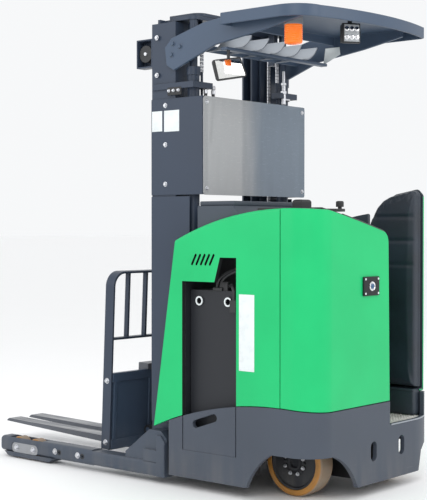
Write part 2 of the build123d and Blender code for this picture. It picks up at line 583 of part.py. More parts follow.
# Reversing sounder on the hood's rear face
with BuildPart() as sounder:
    sounder_face = REAR_X - 12.0
    span_box((sounder_face, REAR_X), (3.0, 141.0), (1010.0, 1106.0))
    fillet(sounder.edges().filter_by(Axis.X), radius=8.0)
    with BuildSketch(rear_plane(sounder_face)):
        with Locations((72.0, 1058.0)):
            Circle(20.0)
    extrude(amount=REAR_X - SOUNDER_DEPTH - sounder_face)
sounder.part.label = "sounder"
export_step(sounder.part, "parts/sounder.step")

# Base legs: beam, tip casting round the load wheels and root gusset
leg_y = (LEG_INNER_Y, LEG_OUTER_Y)
wheel_z = LOAD_WHEEL_RADIUS
wheel_y = (LEG_INNER_Y + LEG_OUTER_Y) / 2
pocket_half = LOAD_WHEEL_WIDTH / 2 + RUN_GAP
tip_z = (LEG_BOTTOM - TIP_PROUD, LEG_TOP + TIP_PROUD)
window_x = (LOAD_WHEEL_X[0] + LOAD_WHEEL_X[1]) / 2
root_x = FRONT_PLATE_X[1]
with BuildPart() as leg_left:
    span_box((root_x, TIP_START_X), leg_y, (LEG_BOTTOM, LEG_TOP))
    span_box((TIP_START_X, TIP_END_X), leg_y, tip_z)
    fillet(leg_left.edges().filter_by(Axis.Z).sort_by(Axis.X)[-2:], radius=26.0)
    fillet(leg_left.faces().sort_by(Axis.X)[-1].edges().filter_by(Axis.Y), radius=24.0)
    side_prism(((ahead(1544.0), tip_z[0] + 1), (ahead(1576.0), CASING_BOTTOM), (ahead(1930.0), CASING_BOTTOM),
                (ahead(1966.0), tip_z[0] + 1)), leg_y)
    # Gusset plate that braces the leg against the frame
    side_prism(((root_x, LEG_TOP - 1), (root_x, GUSSET_TOP - 40), (root_x + 40, GUSSET_TOP),
                (root_x + 124, GUSSET_TOP), (root_x + 300, LEG_TOP + 30), (root_x + 300, LEG_TOP - 1)),
               (LEG_INNER_Y + 10, LEG_OUTER_Y - 14))
    side_prism(((root_x, LEG_BOTTOM), (root_x, GUSSET_TOP - 60), (root_x + 30, GUSSET_TOP - 24),
                (root_x + 60, GUSSET_TOP - 24), (root_x + 60, LEG_BOTTOM)),
               (LEG_OUTER_Y - 30, LEG_OUTER_Y))
    span_box((root_x + 60, root_x + 156), (LEG_OUTER_Y - 30, LEG_OUTER_Y), (LEG_TOP - 1, LEG_TOP + 62))
    # Pocket for the tandem load wheels, with a window and pin bores
    pocket_reach = LOAD_WHEEL_RADIUS + WHEEL_WINDOW
    span_box((LOAD_WHEEL_X[0] - pocket_reach, LOAD_WHEEL_X[1] + pocket_reach),
             (wheel_y - pocket_half, wheel_y + pocket_half), (0, 2 * LEG_TOP), Mode.SUBTRACT)
    with BuildSketch(Plane(origin=(window_x, LEG_OUTER_Y + 1, wheel_z), x_dir=(1, 0, 0), z_dir=(0, -1, 0))):
        SlotCenterToCenter(*AXLE_PLATE)
    extrude(amount=LEG_OUTER_Y + 1 - wheel_y, mode=Mode.SUBTRACT)
    for pin_x in LOAD_WHEEL_X:
        pin_y(pin_x, wheel_z, LOAD_PIN_RADIUS, (LEG_INNER_Y - 1, wheel_y), Mode.SUBTRACT)
    for bore_x in (ahead(1300.0), ahead(1490.0)):
        pin_y(bore_x, 76.0, 8.0, (LEG_OUTER_Y - 40, LEG_OUTER_Y + 1), Mode.SUBTRACT)
leg_left.part.label = "leg_left"
export_step(leg_left.part, "parts/leg_left.step")

with BuildPart() as leg_right:
    mirror(leg_left.part, about=Plane.XZ)
leg_right.part.label = "leg_right"
export_step(leg_right.part, "parts/leg_right.step")

# Load wheel carriers: an oblong plate in the tip's window with the two wheel pins
with BuildPart() as load_axles_left:
    plate_in = wheel_y + pocket_half
    with BuildSketch(Plane(origin=(window_x, LEG_OUTER_Y - 3, wheel_z), x_dir=(1, 0, 0), z_dir=(0, -1, 0))):
        SlotCenterToCenter(*AXLE_PLATE)
    extrude(amount=LEG_OUTER_Y - 3 - plate_in)
    for pin_x in LOAD_WHEEL_X:
        pin_y(pin_x, wheel_z, LOAD_PIN_RADIUS, (LEG_INNER_Y, LEG_OUTER_Y - 1))
load_axles_left.part.label = "load_axles_left"
export_step(load_axles_left.part, "parts/load_axles_left.step")

with BuildPart() as load_axles_right:
    mirror(load_axles_left.part, about=Plane.XZ)
load_axles_right.part.label = "load_axles_right"
export_step(load_axles_right.part, "parts/load_axles_right.step")

# Load wheels: four moulded rollers on their pins
LOAD_WHEEL_PLACES = (
    # name, x, side of the truck
    ("load_wheel_left_rear", LOAD_WHEEL_X[0], 1),
    ("load_wheel_left_front", LOAD_WHEEL_X[1], 1),
    ("load_wheel_right_rear", LOAD_WHEEL_X[0], -1),
    ("load_wheel_right_front", LOAD_WHEEL_X[1], -1),
)
for wheel_name, wheel_x, side in LOAD_WHEEL_PLACES:
    roller_y = (side * wheel_y - LOAD_WHEEL_WIDTH / 2, side * wheel_y + LOAD_WHEEL_WIDTH / 2)
    with BuildPart() as load_wheel:
        pin_y(wheel_x, wheel_z, LOAD_WHEEL_RADIUS, roller_y)
        chamfer(load_wheel.edges().filter_by(GeomType.CIRCLE), length=4.0)
        pin_y(wheel_x, wheel_z, LOAD_PIN_RADIUS + SEAT_GAP, roller_y, Mode.SUBTRACT)
    load_wheel.part.label = wheel_name
    export_step(load_wheel.part, f"parts/{wheel_name}.step")

# Drive unit: turret ring, gearbox leg beside the wheel, hub shaft and upright motor
drive_x = ahead(0.0)
drive_face = DRIVE_Y - DRIVE_WIDTH / 2
GEARBOX_WIDTH = 66.0
GEARBOX_RADIUS = 78.0
HUB_SHAFT_RADIUS = 38.0
with BuildPart() as drive_unit:
    pin_z(drive_x, DRIVE_Y, TURRET_RADIUS, (TURRET_TOP - TURRET_THICKNESS, TURRET_TOP))
    gearbox_y = (drive_face - RUN_GAP - GEARBOX_WIDTH, drive_face - RUN_GAP)
    with BuildSketch(side_plane(gearbox_y[1])):
        with Locations((drive_x, DRIVE_RADIUS)):
            Circle(GEARBOX_RADIUS)
        with Locations((drive_x, (DRIVE_RADIUS + TURRET_TOP - 2) / 2)):
            Rectangle(2 * GEARBOX_RADIUS, TURRET_TOP - 2 - DRIVE_RADIUS)
    extrude(amount=GEARBOX_WIDTH)
    fillet(drive_unit.faces().sort_by(Axis.Y)[0].edges().filter_by(GeomType.CIRCLE), radius=16.0)
    pin_y(drive_x, DRIVE_RADIUS, HUB_SHAFT_RADIUS, (gearbox_y[0] + 10, DRIVE_Y + 20))
    pin_z(drive_x, DRIVE_Y, MOTOR_RADIUS, (TURRET_TOP - 2, TURRET_TOP + MOTOR_HEIGHT))
drive_unit.part.label = "drive_unit"
export_step(drive_unit.part, "parts/drive_unit.step")

# Drive wheel: dished hub and moulded tyre
hub_half = DRIVE_WIDTH / 2 - 5
with BuildPart() as drive_hub:
    with BuildSketch(Plane(origin=(drive_x, DRIVE_Y, DRIVE_RADIUS), x_dir=(1, 0, 0), z_dir=(0, 0, 1))):
        with BuildLine():
            Polyline((HUB_SHAFT_RADIUS + SEAT_GAP, -hub_half), (DRIVE_RIM_RADIUS, -hub_half),
                     (DRIVE_RIM_RADIUS, hub_half), (DRIVE_RIM_RADIUS - 10, hub_half),
                     (DRIVE_RIM_RADIUS - 16, hub_half - 12), (42.0, hub_half - 12), (39.0, hub_half - 4),
                     (29.0, hub_half - 4), (25.0, hub_half - 18), (0, hub_half - 18), (0, 26.0),
                     (HUB_SHAFT_RADIUS + SEAT_GAP, 26.0), close=True)
        make_face()
    revolve(axis=Axis((drive_x, DRIVE_Y, DRIVE_RADIUS), (0, 1, 0)))
    hub_face = Plane(origin=(drive_x, DRIVE_Y + hub_half, DRIVE_RADIUS), x_dir=(1, 0, 0), z_dir=(0, 1, 0))
    with BuildSketch(hub_face):
        with PolarLocations(NUT_CIRCLE, 8):
            Circle(8.0)
    extrude(amount=-20.0)
drive_hub.part.label = "drive_hub"
export_step(drive_hub.part, "parts/drive_hub.step")

with BuildPart() as drive_tyre:
    with BuildSketch(Plane(origin=(drive_x, DRIVE_Y, DRIVE_RADIUS), x_dir=(1, 0, 0), z_dir=(0, 0, 1))):
        half = DRIVE_WIDTH / 2
        with BuildLine():
            Polyline((DRIVE_RIM_RADIUS, -half), (DRIVE_RADIUS - 10, -half), (DRIVE_RADIUS, -half + 12),
                     (DRIVE_RADIUS, half - 12), (DRIVE_RADIUS - 10, half), (DRIVE_RIM_RADIUS, half), close=True)
        make_face()
    revolve(axis=Axis((drive_x, DRIVE_Y, DRIVE_RADIUS), (0, 1, 0)))
drive_tyre.part.label = "drive_tyre"
export_step(drive_tyre.part, "parts/drive_tyre.step")

# Caster under the operator's floor
caster_axle_x = CASTER_X - CASTER_TRAIL
cheek_in = CASTER_WIDTH / 2 + RUN_GAP
cheek_out = cheek_in + 12.0
crown_z = (2 * CASTER_RADIUS + 10.0, 2 * CASTER_RADIUS + 26.0)
with BuildPart() as caster_fork:
    pin_z(CASTER_X, CASTER_Y, 62.0, (DECK_BOTTOM - 16.0, DECK_BOTTOM - SEAT_GAP))
    pin_z(CASTER_X, CASTER_Y, 34.0, (crown_z[1] - 1, DECK_BOTTOM - 10.0))
    span_box((caster_axle_x - 30, CASTER_X + 40), (CASTER_Y - cheek_out, CASTER_Y + cheek_out), crown_z)
    for side in (1, -1):
        cheek = sorted((CASTER_Y + side * cheek_in, CASTER_Y + side * cheek_out))
        side_prism(((caster_axle_x - 30, crown_z[1]), (caster_axle_x - 30, CASTER_RADIUS - 26),
                    (caster_axle_x + 30, CASTER_RADIUS - 26), (CASTER_X + 40, crown_z[0]),
                    (CASTER_X + 40, crown_z[1])), cheek)
    pin_y(caster_axle_x, CASTER_RADIUS, AXLE_PIN_RADIUS, (CASTER_Y - cheek_out, CASTER_Y + cheek_out))
caster_fork.part.label = "caster_fork"
export_step(caster_fork.part, "parts/caster_fork.step")

with BuildPart() as caster_wheel:
    roller_y = (CASTER_Y - CASTER_WIDTH / 2, CASTER_Y + CASTER_WIDTH / 2)
    pin_y(caster_axle_x, CASTER_RADIUS, CASTER_RADIUS, roller_y)
    chamfer(caster_wheel.edges().filter_by(GeomType.CIRCLE), length=5.0)
    pin_y(caster_axle_x, CASTER_RADIUS, AXLE_PIN_RADIUS + SEAT_GAP, roller_y, Mode.SUBTRACT)
caster_wheel.part.label = "caster_wheel"
export_step(caster_wheel.part, "parts/caster_wheel.step")

# Mast rails: (inner y, outer y, rear x, front x, web inner y, flange) from the outside in
outer_rail = (MAST_HALF_WIDTH - RAIL_WIDTH, MAST_HALF_WIDTH, MAST_REAR_X, MAST_FRONT_X,
              MAST_HALF_WIDTH - RAIL_WEB, RAIL_FLANGE)
nest = RAIL_FLANGE + STAGE_GAP
middle_outer_y = outer_rail[4] - STAGE_GAP
middle_rail = (middle_outer_y - 102.0, middle_outer_y, MAST_REAR_X + nest, MAST_FRONT_X - nest,
               middle_outer_y - 58.0, RAIL_FLANGE)
inner_outer_y = middle_rail[4] - STAGE_GAP
inner_rail = (inner_outer_y - 86.0, inner_outer_y, MAST_REAR_X + 2 * nest, MAST_FRONT_X - 2 * nest,
              inner_outer_y - RAIL_WEB, INNER_FLANGE)
MIDDLE_TOP = MAST_TOP + STAGE_RISE
INNER_TOP = MIDDLE_TOP + STAGE_RISE
HEAD_PLATE = 19.0


def rail_pair(rail, low, high):
    """Left and right rails of one stage: two flanges and a web, mirrored."""
    inner_y, outer_y, rear_x, front_x, web_y, flange = rail
    with BuildSketch(Plane.XY.offset(low)) as section:
        with Locations(((rear_x + front_x) / 2, web_y + RAIL_WEB / 2)):
            Rectangle(front_x - rear_x, RAIL_WEB)
        for flange_x in (rear_x + flange / 2, front_x - flange / 2):
            with Locations((flange_x, (inner_y + outer_y) / 2)):
                Rectangle(flange, outer_y - inner_y)
        mirror(about=Plane.XZ)
    extrude(section.sketch, amount=high - low)


def wear_pads(rail, outward, low, high):
    """Slide blocks on the rail flanges that run on the next stage, 0.3 mm clear of it."""
    inner_y, outer_y, rear_x, front_x, web_y, flange = rail
    pad = STAGE_GAP - SEAT_GAP
    for side in (1, -1):
        if outward:
            pad_y = sorted((side * (outer_y - 30), side * (outer_y - 6)))
            span_box((rear_x - pad, rear_x), pad_y, (low, high))
            span_box((front_x, front_x + pad), pad_y, (low, high))
        else:
            pad_y = sorted((side * (inner_y + 6), side * (inner_y + 30)))
            span_box((rear_x + flange, rear_x + flange + pad), pad_y, (low, high))
            span_box((front_x - flange - pad, front_x - flange), pad_y, (low, high))


# Outer stage: fixed rails, rear ties and chain anchors
tie_rear = MAST_REAR_X - TIE_DEPTH
CYLINDER_BAR = 12.0
CYLINDER_BAR_Z = (2084.0, 2116.0)
CHAIN_END_Z = 2184.0
bar_rear = CYLINDER_X - CYLINDER_RADIUS - 5.0 - RUN_GAP - CYLINDER_BAR
bar_outer_y = MAST_HALF_WIDTH + CYLINDER_BAR
anchor_in = CHAIN_Y - 33.0
with BuildPart() as mast_outer:
    rail_pair(outer_rail, MAST_BOTTOM, MAST_TOP)
    for tie_z in ((MAST_BOTTOM, 260.0), (1080.0, 1140.0)):
        span_box((tie_rear, MAST_REAR_X), (-MAST_HALF_WIDTH, MAST_HALF_WIDTH), tie_z)
    wear_pads(outer_rail, False, MAST_TOP - 110, MAST_TOP - 10)
    for side in (1, -1):
        # Bent bar round the lift cylinder, with the chain's anchor on its end
        side_y = sorted((side * MAST_HALF_WIDTH, side * bar_outer_y))
        span_box((bar_rear, MAST_FRONT_X - 12), side_y, CYLINDER_BAR_Z)
        back_y = sorted((side * anchor_in, side * bar_outer_y))
        span_box((bar_rear, bar_rear + CYLINDER_BAR), back_y, CYLINDER_BAR_Z)
        anchor_y = sorted((side * anchor_in, side * (CHAIN_Y + 13)))
        span_box((bar_rear, SHEAVE_X - SHEAVE_RADIUS + 14), anchor_y, CYLINDER_BAR_Z)
        pin_z(SHEAVE_X - SHEAVE_RADIUS, side * CHAIN_Y, 7.0, (CYLINDER_BAR_Z[0] - 60, CHAIN_END_Z - 8))
mast_outer.part.label = "mast_outer"
export_step(mast_outer.part, "parts/mast_outer.step")

# Lift cylinders behind the outer rails
with BuildPart() as lift_cylinders:
    for side in (1, -1):
        cylinder_y = side * CYLINDER_Y
        pin_z(CYLINDER_X, cylinder_y, CYLINDER_RADIUS, (CYLINDER_BOTTOM, CYLINDER_TOP))
        pin_z(CYLINDER_X, cylinder_y, CYLINDER_RADIUS + 5, (CYLINDER_TOP - 46, CYLINDER_TOP - 1))
        foot_y = (cylinder_y - CYLINDER_RADIUS, cylinder_y + CYLINDER_RADIUS)
        span_box((CYLINDER_X - CYLINDER_RADIUS, tie_rear), foot_y, (1090.0, 1130.0))
        pin_z(CYLINDER_X, cylinder_y, CYLINDER_BORE, (CYLINDER_BOTTOM + 20, CYLINDER_TOP - 30), Mode.SUBTRACT)
        pin_z(CYLINDER_X, cylinder_y, LIFT_ROD_RADIUS + SEAT_GAP, (CYLINDER_TOP - 31, CYLINDER_TOP + 1),
              Mode.SUBTRACT)
lift_cylinders.part.label = "lift_cylinders"
export_step(lift_cylinders.part, "parts/lift_cylinders.step")

# Side covers bolted to the outer rails
COVER = 6.0
COVER_SPLIT = 1516.0
COVER_LOW = 310.0
COVER_REAR_X = ahead(588.0)
with BuildPart() as mast_covers:
    for side in (1, -1):
        plate_y = sorted((side * MAST_HALF_WIDTH, side * (MAST_HALF_WIDTH + COVER)))
        span_box((SHIELD_X + SHIELD_THICKNESS, MAST_FRONT_X), plate_y, (COVER_SPLIT + 8, SHIELD_TOP))
        flange_y = sorted((side * (MAST_HALF_WIDTH - 40), side * (MAST_HALF_WIDTH + COVER)))
        span_box((SHIELD_X + SHIELD_THICKNESS, SHIELD_X + SHIELD_THICKNESS + COVER), flange_y,
                 (COVER_SPLIT + 8, SHIELD_TOP))
        side_prism(((tie_rear, COVER_LOW), (tie_rear, FRAME_TOP + RUN_GAP), (COVER_REAR_X, FRAME_TOP + RUN_GAP),
                    (COVER_REAR_X, COVER_SPLIT), (MAST_FRONT_X, COVER_SPLIT), (MAST_FRONT_X, COVER_LOW)), plate_y)
mast_covers.part.label = "mast_covers"
export_step(mast_covers.part, "parts/mast_covers.step")

# Clear shield between the operator and the mast
with BuildPart() as shield:
    span_box((SHIELD_X, SHIELD_X + SHIELD_THICKNESS), (-MAST_HALF_WIDTH, MAST_HALF_WIDTH),
             (SHIELD_BOTTOM, SHIELD_TOP))
    fillet(shield.edges().filter_by(Axis.X), radius=16.0)
shield.part.label = "shield"
export_step(shield.part, "parts/shield.step")

# Middle stage: I rails, ties, crosshead with the lift rods and sheave cheeks
middle_tie_y = middle_rail[0] + 44.0
with BuildPart() as mast_middle:
    rail_pair(middle_rail, MAST_BOTTOM + 10, MIDDLE_TOP)
    for tie_z in ((MAST_BOTTOM + 10, 230.0), (1240.0, 1300.0)):
        span_box((middle_rail[2] - TIE_DEPTH, middle_rail[2]), (-middle_tie_y, middle_tie_y), tie_z)
    span_box((CYLINDER_X - CYLINDER_RADIUS, middle_rail[2]), (-middle_rail[1], middle_rail[1]),
             (MIDDLE_TOP - HEAD_PLATE, MIDDLE_TOP))
    fillet(mast_middle.edges().filter_by(Axis.Z).sort_by(Axis.X)[:2], radius=50.0)
    wear_pads(middle_rail, True, MAST_BOTTOM + 10, MAST_BOTTOM + 110)
    wear_pads(middle_rail, False, MIDDLE_TOP - 140, MIDDLE_TOP - 40)
    for side in (1, -1):
        pin_z(CYLINDER_X, side * CYLINDER_Y, LIFT_ROD_RADIUS, (420.0, MIDDLE_TOP - 1))
        for cheek_y in (CHAIN_Y - 21, CHAIN_Y + 16):
            span_box((SHEAVE_X - 18, SHEAVE_X + 18), sorted((side * cheek_y, side * (cheek_y + 5))),
                     (SHEAVE_Z - 26, MIDDLE_TOP - 1))
            pin_y(SHEAVE_X, SHEAVE_Z, 8.0, sorted((side * (cheek_y - 1), side * (cheek_y + 6))), Mode.SUBTRACT)
mast_middle.part.label = "mast_middle"
export_step(mast_middle.part, "parts/mast_middle.step")

# Lift chains over their sheaves, riding on the middle stage
CHAIN_THICKNESS = 6.0
with BuildPart() as lift_chains:
    for side in (1, -1):
        chain_y = sorted((side * (CHAIN_Y - CHAIN_WIDTH / 2), side * (CHAIN_Y + CHAIN_WIDTH / 2)))
        band = SHEAVE_RADIUS - CHAIN_THICKNESS / 2
        pin_y(SHEAVE_X, SHEAVE_Z, band + CHAIN_THICKNESS, chain_y)
        pin_y(SHEAVE_X, SHEAVE_Z, 8.0, sorted((side * (CHAIN_Y - 21), side * (CHAIN_Y + 21))))
        span_box((SHEAVE_X + band, SHEAVE_X + band + CHAIN_THICKNESS), chain_y, (900.0, SHEAVE_Z))
        span_box((SHEAVE_X - band - CHAIN_THICKNESS, SHEAVE_X - band), chain_y, (CHAIN_END_Z, SHEAVE_Z))
lift_chains.part.label = "lift_chains"
export_step(lift_chains.part, "parts/lift_chains.step")

# Inner stage: C rails, ties and head band
inner_tie_y = inner_rail[0] + 40.0
FREE_X = ahead(790.0)
FREE_RADIUS = 36.0
with BuildPart() as mast_inner:
    rail_pair(inner_rail, MAST_BOTTOM + 14, INNER_TOP)
    for tie_z in ((MAST_BOTTOM + 14, 200.0), (1380.0, 1440.0)):
        span_box((inner_rail[2] - TIE_DEPTH, inner_rail[2]), (-inner_tie_y, inner_tie_y), tie_z)
    span_box((ahead(600.0), inner_rail[2] + 10), (-inner_rail[1], inner_rail[1]),
             (INNER_TOP - HEAD_PLATE, INNER_TOP))
    fillet(mast_inner.edges().filter_by(Axis.Z).sort_by(Axis.X)[:2], radius=60.0)
    wear_pads(inner_rail, True, MAST_BOTTOM + 20, MAST_BOTTOM + 120)
    span_box((inner_rail[2] - TIE_DEPTH, FREE_X + FREE_RADIUS), (-44.0, 44.0), (MAST_BOTTOM + 14, 130.0))
mast_inner.part.label = "mast_inner"
export_step(mast_inner.part, "parts/mast_inner.step")

# Free-lift cylinder on the inner stage, with its rod and sheave head
FREE_TOP = 1250.0
FREE_ROD_RADIUS = 24.0
with BuildPart() as free_lift_cylinder:
    pin_z(FREE_X, 0, FREE_RADIUS, (130.0, FREE_TOP))
    pin_z(FREE_X, 0, FREE_RADIUS - 7, (150.0, FREE_TOP - 24), Mode.SUBTRACT)
    pin_z(FREE_X, 0, FREE_ROD_RADIUS + SEAT_GAP, (FREE_TOP - 25, FREE_TOP + 1), Mode.SUBTRACT)
free_lift_cylinder.part.label = "free_lift_cylinder"
export_step(free_lift_cylinder.part, "parts/free_lift_cylinder.step")

with BuildPart() as free_lift_head:
    pin_z(FREE_X, 0, FREE_ROD_RADIUS, (300.0, FREE_TOP + 30))
    span_box((FREE_X - 26, FREE_X + 26), (-92.0, 92.0), (FREE_TOP + 28, FREE_TOP + 64))
    for side in (1, -1):
        pin_y(FREE_X, FREE_TOP + 60, 34.0, sorted((side * 58.0, side * 86.0)))
free_lift_head.part.label = "free_lift_head"
export_step(free_lift_head.part, "parts/free_lift_head.step")

# Lift carriage: two slotted cheeks on rollers in the inner rails
cheek_y = (ARM_OUTER_Y + RUN_GAP, ARM_OUTER_Y + RUN_GAP + CHEEK_THICKNESS)
roller_x = (inner_rail[2] + inner_rail[3]) / 2
roller_radius = (inner_rail[3] - inner_rail[2]) / 2 - INNER_FLANGE - SEAT_GAP
carriage_rear = inner_rail[2] + 8
carriage_front = PIVOT_REAR_X + ARM_WIDTH / 2
carriage_z = (LOW_PIN_Z - 36.0, PIVOT_Z + 40.0)
slot_width = 2 * (REACH_PIN_RADIUS + SEAT_GAP)


def slotted_cheeks(x, z, slot_x):
    """Pair of upright cheeks with a slot for a lower reach pin."""
    for side in (1, -1):
        span_box(x, sorted((side * cheek_y[0], side * cheek_y[1])), z)
        with BuildSketch(side_plane(side * cheek_y[1] + 30)) as slot:
            with Locations((slot_x, LOW_PIN_Z + slot_rise / 2)):
                SlotCenterToCenter(slot_rise, slot_width, rotation=90)
        extrude(slot.sketch, amount=60 + CHEEK_THICKNESS, mode=Mode.SUBTRACT)


with BuildPart() as lift_carriage:
    slotted_cheeks((carriage_rear, carriage_front), carriage_z, PIVOT_REAR_X)
    for tie_z in ((carriage_z[0], carriage_z[0] + 60), (carriage_z[1] - 70, carriage_z[1])):
        span_box((ahead(838.0), ahead(862.0)), (-cheek_y[0], cheek_y[0]), tie_z)
    for side in (1, -1):
        pivot_y = sorted((side * (ARM_OUTER_Y - ARM_THICKNESS - 3), side * cheek_y[1]))
        pin_y(PIVOT_REAR_X, PIVOT_Z, REACH_PIN_RADIUS, pivot_y)
        roller_out = side * (inner_rail[4] - RUN_GAP)
        for roller_z in (carriage_z[0] + 60, PIVOT_Z - 60):
            pin_y(roller_x, roller_z, 12.0, sorted((side * cheek_y[0], roller_out)))
            pin_y(roller_x, roller_z, roller_radius, sorted((side * (inner_rail[0] + 8), roller_out)))
lift_carriage.part.label = "lift_carriage"
export_step(lift_carriage.part, "parts/lift_carriage.step")


def reach_arms(start, end, outer_y):
    """Left and right flat arms between two (x, z) pins, with round ends and a bore at the middle."""
    middle = ((start[0] + end[0]) / 2, (start[1] + end[1]) / 2)
    angle = degrees(atan2(end[1] - start[1], end[0] - start[0]))
    for side in (1, -1):
        arm_y = sorted((side * (outer_y - ARM_THICKNESS), side * outer_y))
        with BuildSketch(side_plane(arm_y[1])) as arm:
            with Locations(middle):
                SlotCenterToCenter(ARM_LENGTH, ARM_WIDTH, rotation=angle)
        extrude(arm.sketch, amount=ARM_THICKNESS)


arm_gap_y = ARM_OUTER_Y - ARM_THICKNESS - RUN_GAP
scissor_x = (PIVOT_REAR_X + PIVOT_FRONT_X) / 2
scissor_z = (PIVOT_Z + LOW_PIN_Z) / 2
bore = REACH_PIN_RADIUS + SEAT_GAP


def along(start, end, share):
    """Point on the line between two (x, z) pins."""
    return (start[0] + (end[0] - start[0]) * share, start[1] + (end[1] - start[1]) * share)


# Outer scissor arms: from the lift carriage's top pins down to the reach head's slots
rear_top, front_low = (PIVOT_REAR_X, PIVOT_Z), (PIVOT_FRONT_X, LOW_PIN_Z)
with BuildPart() as reach_arms_outer:
    reach_arms(rear_top, front_low, ARM_OUTER_Y)
    cross_x, cross_z = along(rear_top, front_low, 0.86)
    pin_y(cross_x, cross_z, 16.0, (-ARM_OUTER_Y + 4, ARM_OUTER_Y - 4))
    for side in (1, -1):
        pin_y(front_low[0], front_low[1], REACH_PIN_RADIUS,
              sorted((side * (ARM_OUTER_Y - 8), side * cheek_y[1])))
        through = sorted((side * (ARM_OUTER_Y - ARM_THICKNESS - 1), side * (ARM_OUTER_Y + 1)))
        pin_y(rear_top[0], rear_top[1], bore, through, Mode.SUBTRACT)
        pin_y(scissor_x, scissor_z, bore, through, Mode.SUBTRACT)
reach_arms_outer.part.label = "reach_arms_outer"
export_step(reach_arms_outer.part, "parts/reach_arms_outer.step")

# Inner scissor arms: from the reach head's top pins down to the lift carriage's slots
front_top, rear_low = (PIVOT_FRONT_X, PIVOT_Z), (PIVOT_REAR_X, LOW_PIN_Z)
with BuildPart() as reach_arms_inner:
    reach_arms(front_top, rear_low, arm_gap_y)
    cross_x, cross_z = along(front_top, rear_low, 0.72)
    pin_y(cross_x, cross_z, 16.0, (-arm_gap_y + 4, arm_gap_y - 4))
    for side in (1, -1):
        pin_y(rear_low[0], rear_low[1], REACH_PIN_RADIUS, sorted((side * (arm_gap_y - 8), side * cheek_y[1])))
        pin_y(scissor_x, scissor_z, REACH_PIN_RADIUS, sorted((side * (arm_gap_y - 8), side * ARM_OUTER_Y)))
        through = sorted((side * (arm_gap_y - ARM_THICKNESS - 1), side * (arm_gap_y + 1)))
        pin_y(front_top[0], front_top[1], bore, through, Mode.SUBTRACT)
reach_arms_inner.part.label = "reach_arms_inner"
export_step(reach_arms_inner.part, "parts/reach_arms_inner.step")

# Reach head: slotted cheeks, ties and the lugs of the tilt pin
head_x = (PIVOT_FRONT_X - REACH_PLATE_DEPTH / 2, PIVOT_FRONT_X + ARM_WIDTH / 2 + 25.0)
tilt_x = ahead(TILT_PIN_AHEAD)
LUG_RADIUS = 28.0
with BuildPart() as reach_head:
    slotted_cheeks(head_x, carriage_z, PIVOT_FRONT_X)
    for tie_z in ((carriage_z[0], carriage_z[0] + 56), (carriage_z[1] - 64, carriage_z[1])):
        span_box((head_x[1] - 18, head_x[1]), (-cheek_y[0], cheek_y[0]), tie_z)
    for side in (1, -1):
        lug_y = sorted((side * cheek_y[0], side * cheek_y[1]))
        span_box((head_x[1] - 1, tilt_x), lug_y, (TILT_PIN_Z - LUG_RADIUS, TILT_PIN_Z + LUG_RADIUS))
        pin_y(tilt_x, TILT_PIN_Z, LUG_RADIUS, lug_y)
        pin_y(tilt_x, TILT_PIN_Z, bore, (lug_y[0] - 1, lug_y[1] + 1), Mode.SUBTRACT)
        pin_y(front_top[0], front_top[1], REACH_PIN_RADIUS,
              sorted((side * (arm_gap_y - ARM_THICKNESS - 3), side * cheek_y[1])))
reach_head.part.label = "reach_head"
export_step(reach_head.part, "parts/reach_head.step")

# Fork carriage, backrest and forks are drawn in a frame that leans back with the tilt
lean_x = (tilt_cos, 0, tilt_sin)


def tilted_side(y):
    """Side plane of the tilted frame: local x runs out along the forks, local y up the shanks."""
    return Plane(origin=(tilt_x, y, TILT_PIN_Z), x_dir=lean_x, z_dir=(0, -1, 0))


def tilted_front(depth):
    """Front plane of the tilted frame at a depth ahead of the tilt pin."""
    origin = (tilt_x + depth * tilt_cos, 0, TILT_PIN_Z + depth * tilt_sin)
    return Plane(origin=origin, x_dir=(0, 1, 0), z_dir=lean_x)


def tilted_block(depth, y, height, mode=Mode.ADD):
    """Block in the tilted frame between limits of depth, y and height."""
    with BuildSketch(tilted_side(y[1])) as block:
        with Locations(((depth[0] + depth[1]) / 2, (height[0] + height[1]) / 2)):
            Rectangle(depth[1] - depth[0], height[1] - height[0])
    extrude(block.sketch, amount=y[1] - y[0], mode=mode)


BAR_REAR = 22.0
bar_depth = (BAR_REAR, FORK_FACE - FORK_THICKNESS)
LOW_BAR = (-84.0, -30.0)
TOP_BAR = (296.0, 346.0)
CARRIAGE_HALF_WIDTH = LEG_INNER_Y - 31.0
with BuildPart() as fork_carriage:
    for bar in (LOW_BAR, TOP_BAR):
        tilted_block(bar_depth, (-CARRIAGE_HALF_WIDTH, CARRIAGE_HALF_WIDTH), bar)
    post_out = CARRIAGE_HALF_WIDTH - 24.0
    for post_y in (-post_out, -60.0, 60.0, post_out):
        tilted_block((BAR_REAR, BAR_REAR + 20), (post_y - 12, post_y + 12), (LOW_BAR[0], TOP_BAR[1]))
    for side in (1, -1):
        tilted_block((BAR_REAR + 6, BAR_REAR + 14), sorted((side * 60.0, side * post_out)), (LOW_BAR[0], TOP_BAR[1]))
    for side in (1, -1):
        lug_y = sorted((side * (cheek_y[0] - RUN_GAP - CHEEK_THICKNESS), side * (cheek_y[0] - RUN_GAP)))
        tilted_block((0, bar_depth[1]), lug_y, (-24.0, 24.0))
        tilted_block((BAR_REAR, bar_depth[1]), lug_y, (LOW_BAR[0], TOP_BAR[0] + 2))
        pin_y(tilt_x, TILT_PIN_Z, 24.0, lug_y)
        pin_y(tilt_x, TILT_PIN_Z, REACH_PIN_RADIUS,
              sorted((side * (cheek_y[0] - RUN_GAP - 4), side * cheek_y[1])))
fork_carriage.part.label = "fork_carriage"
export_step(fork_carriage.part, "parts/fork_carriage.step")

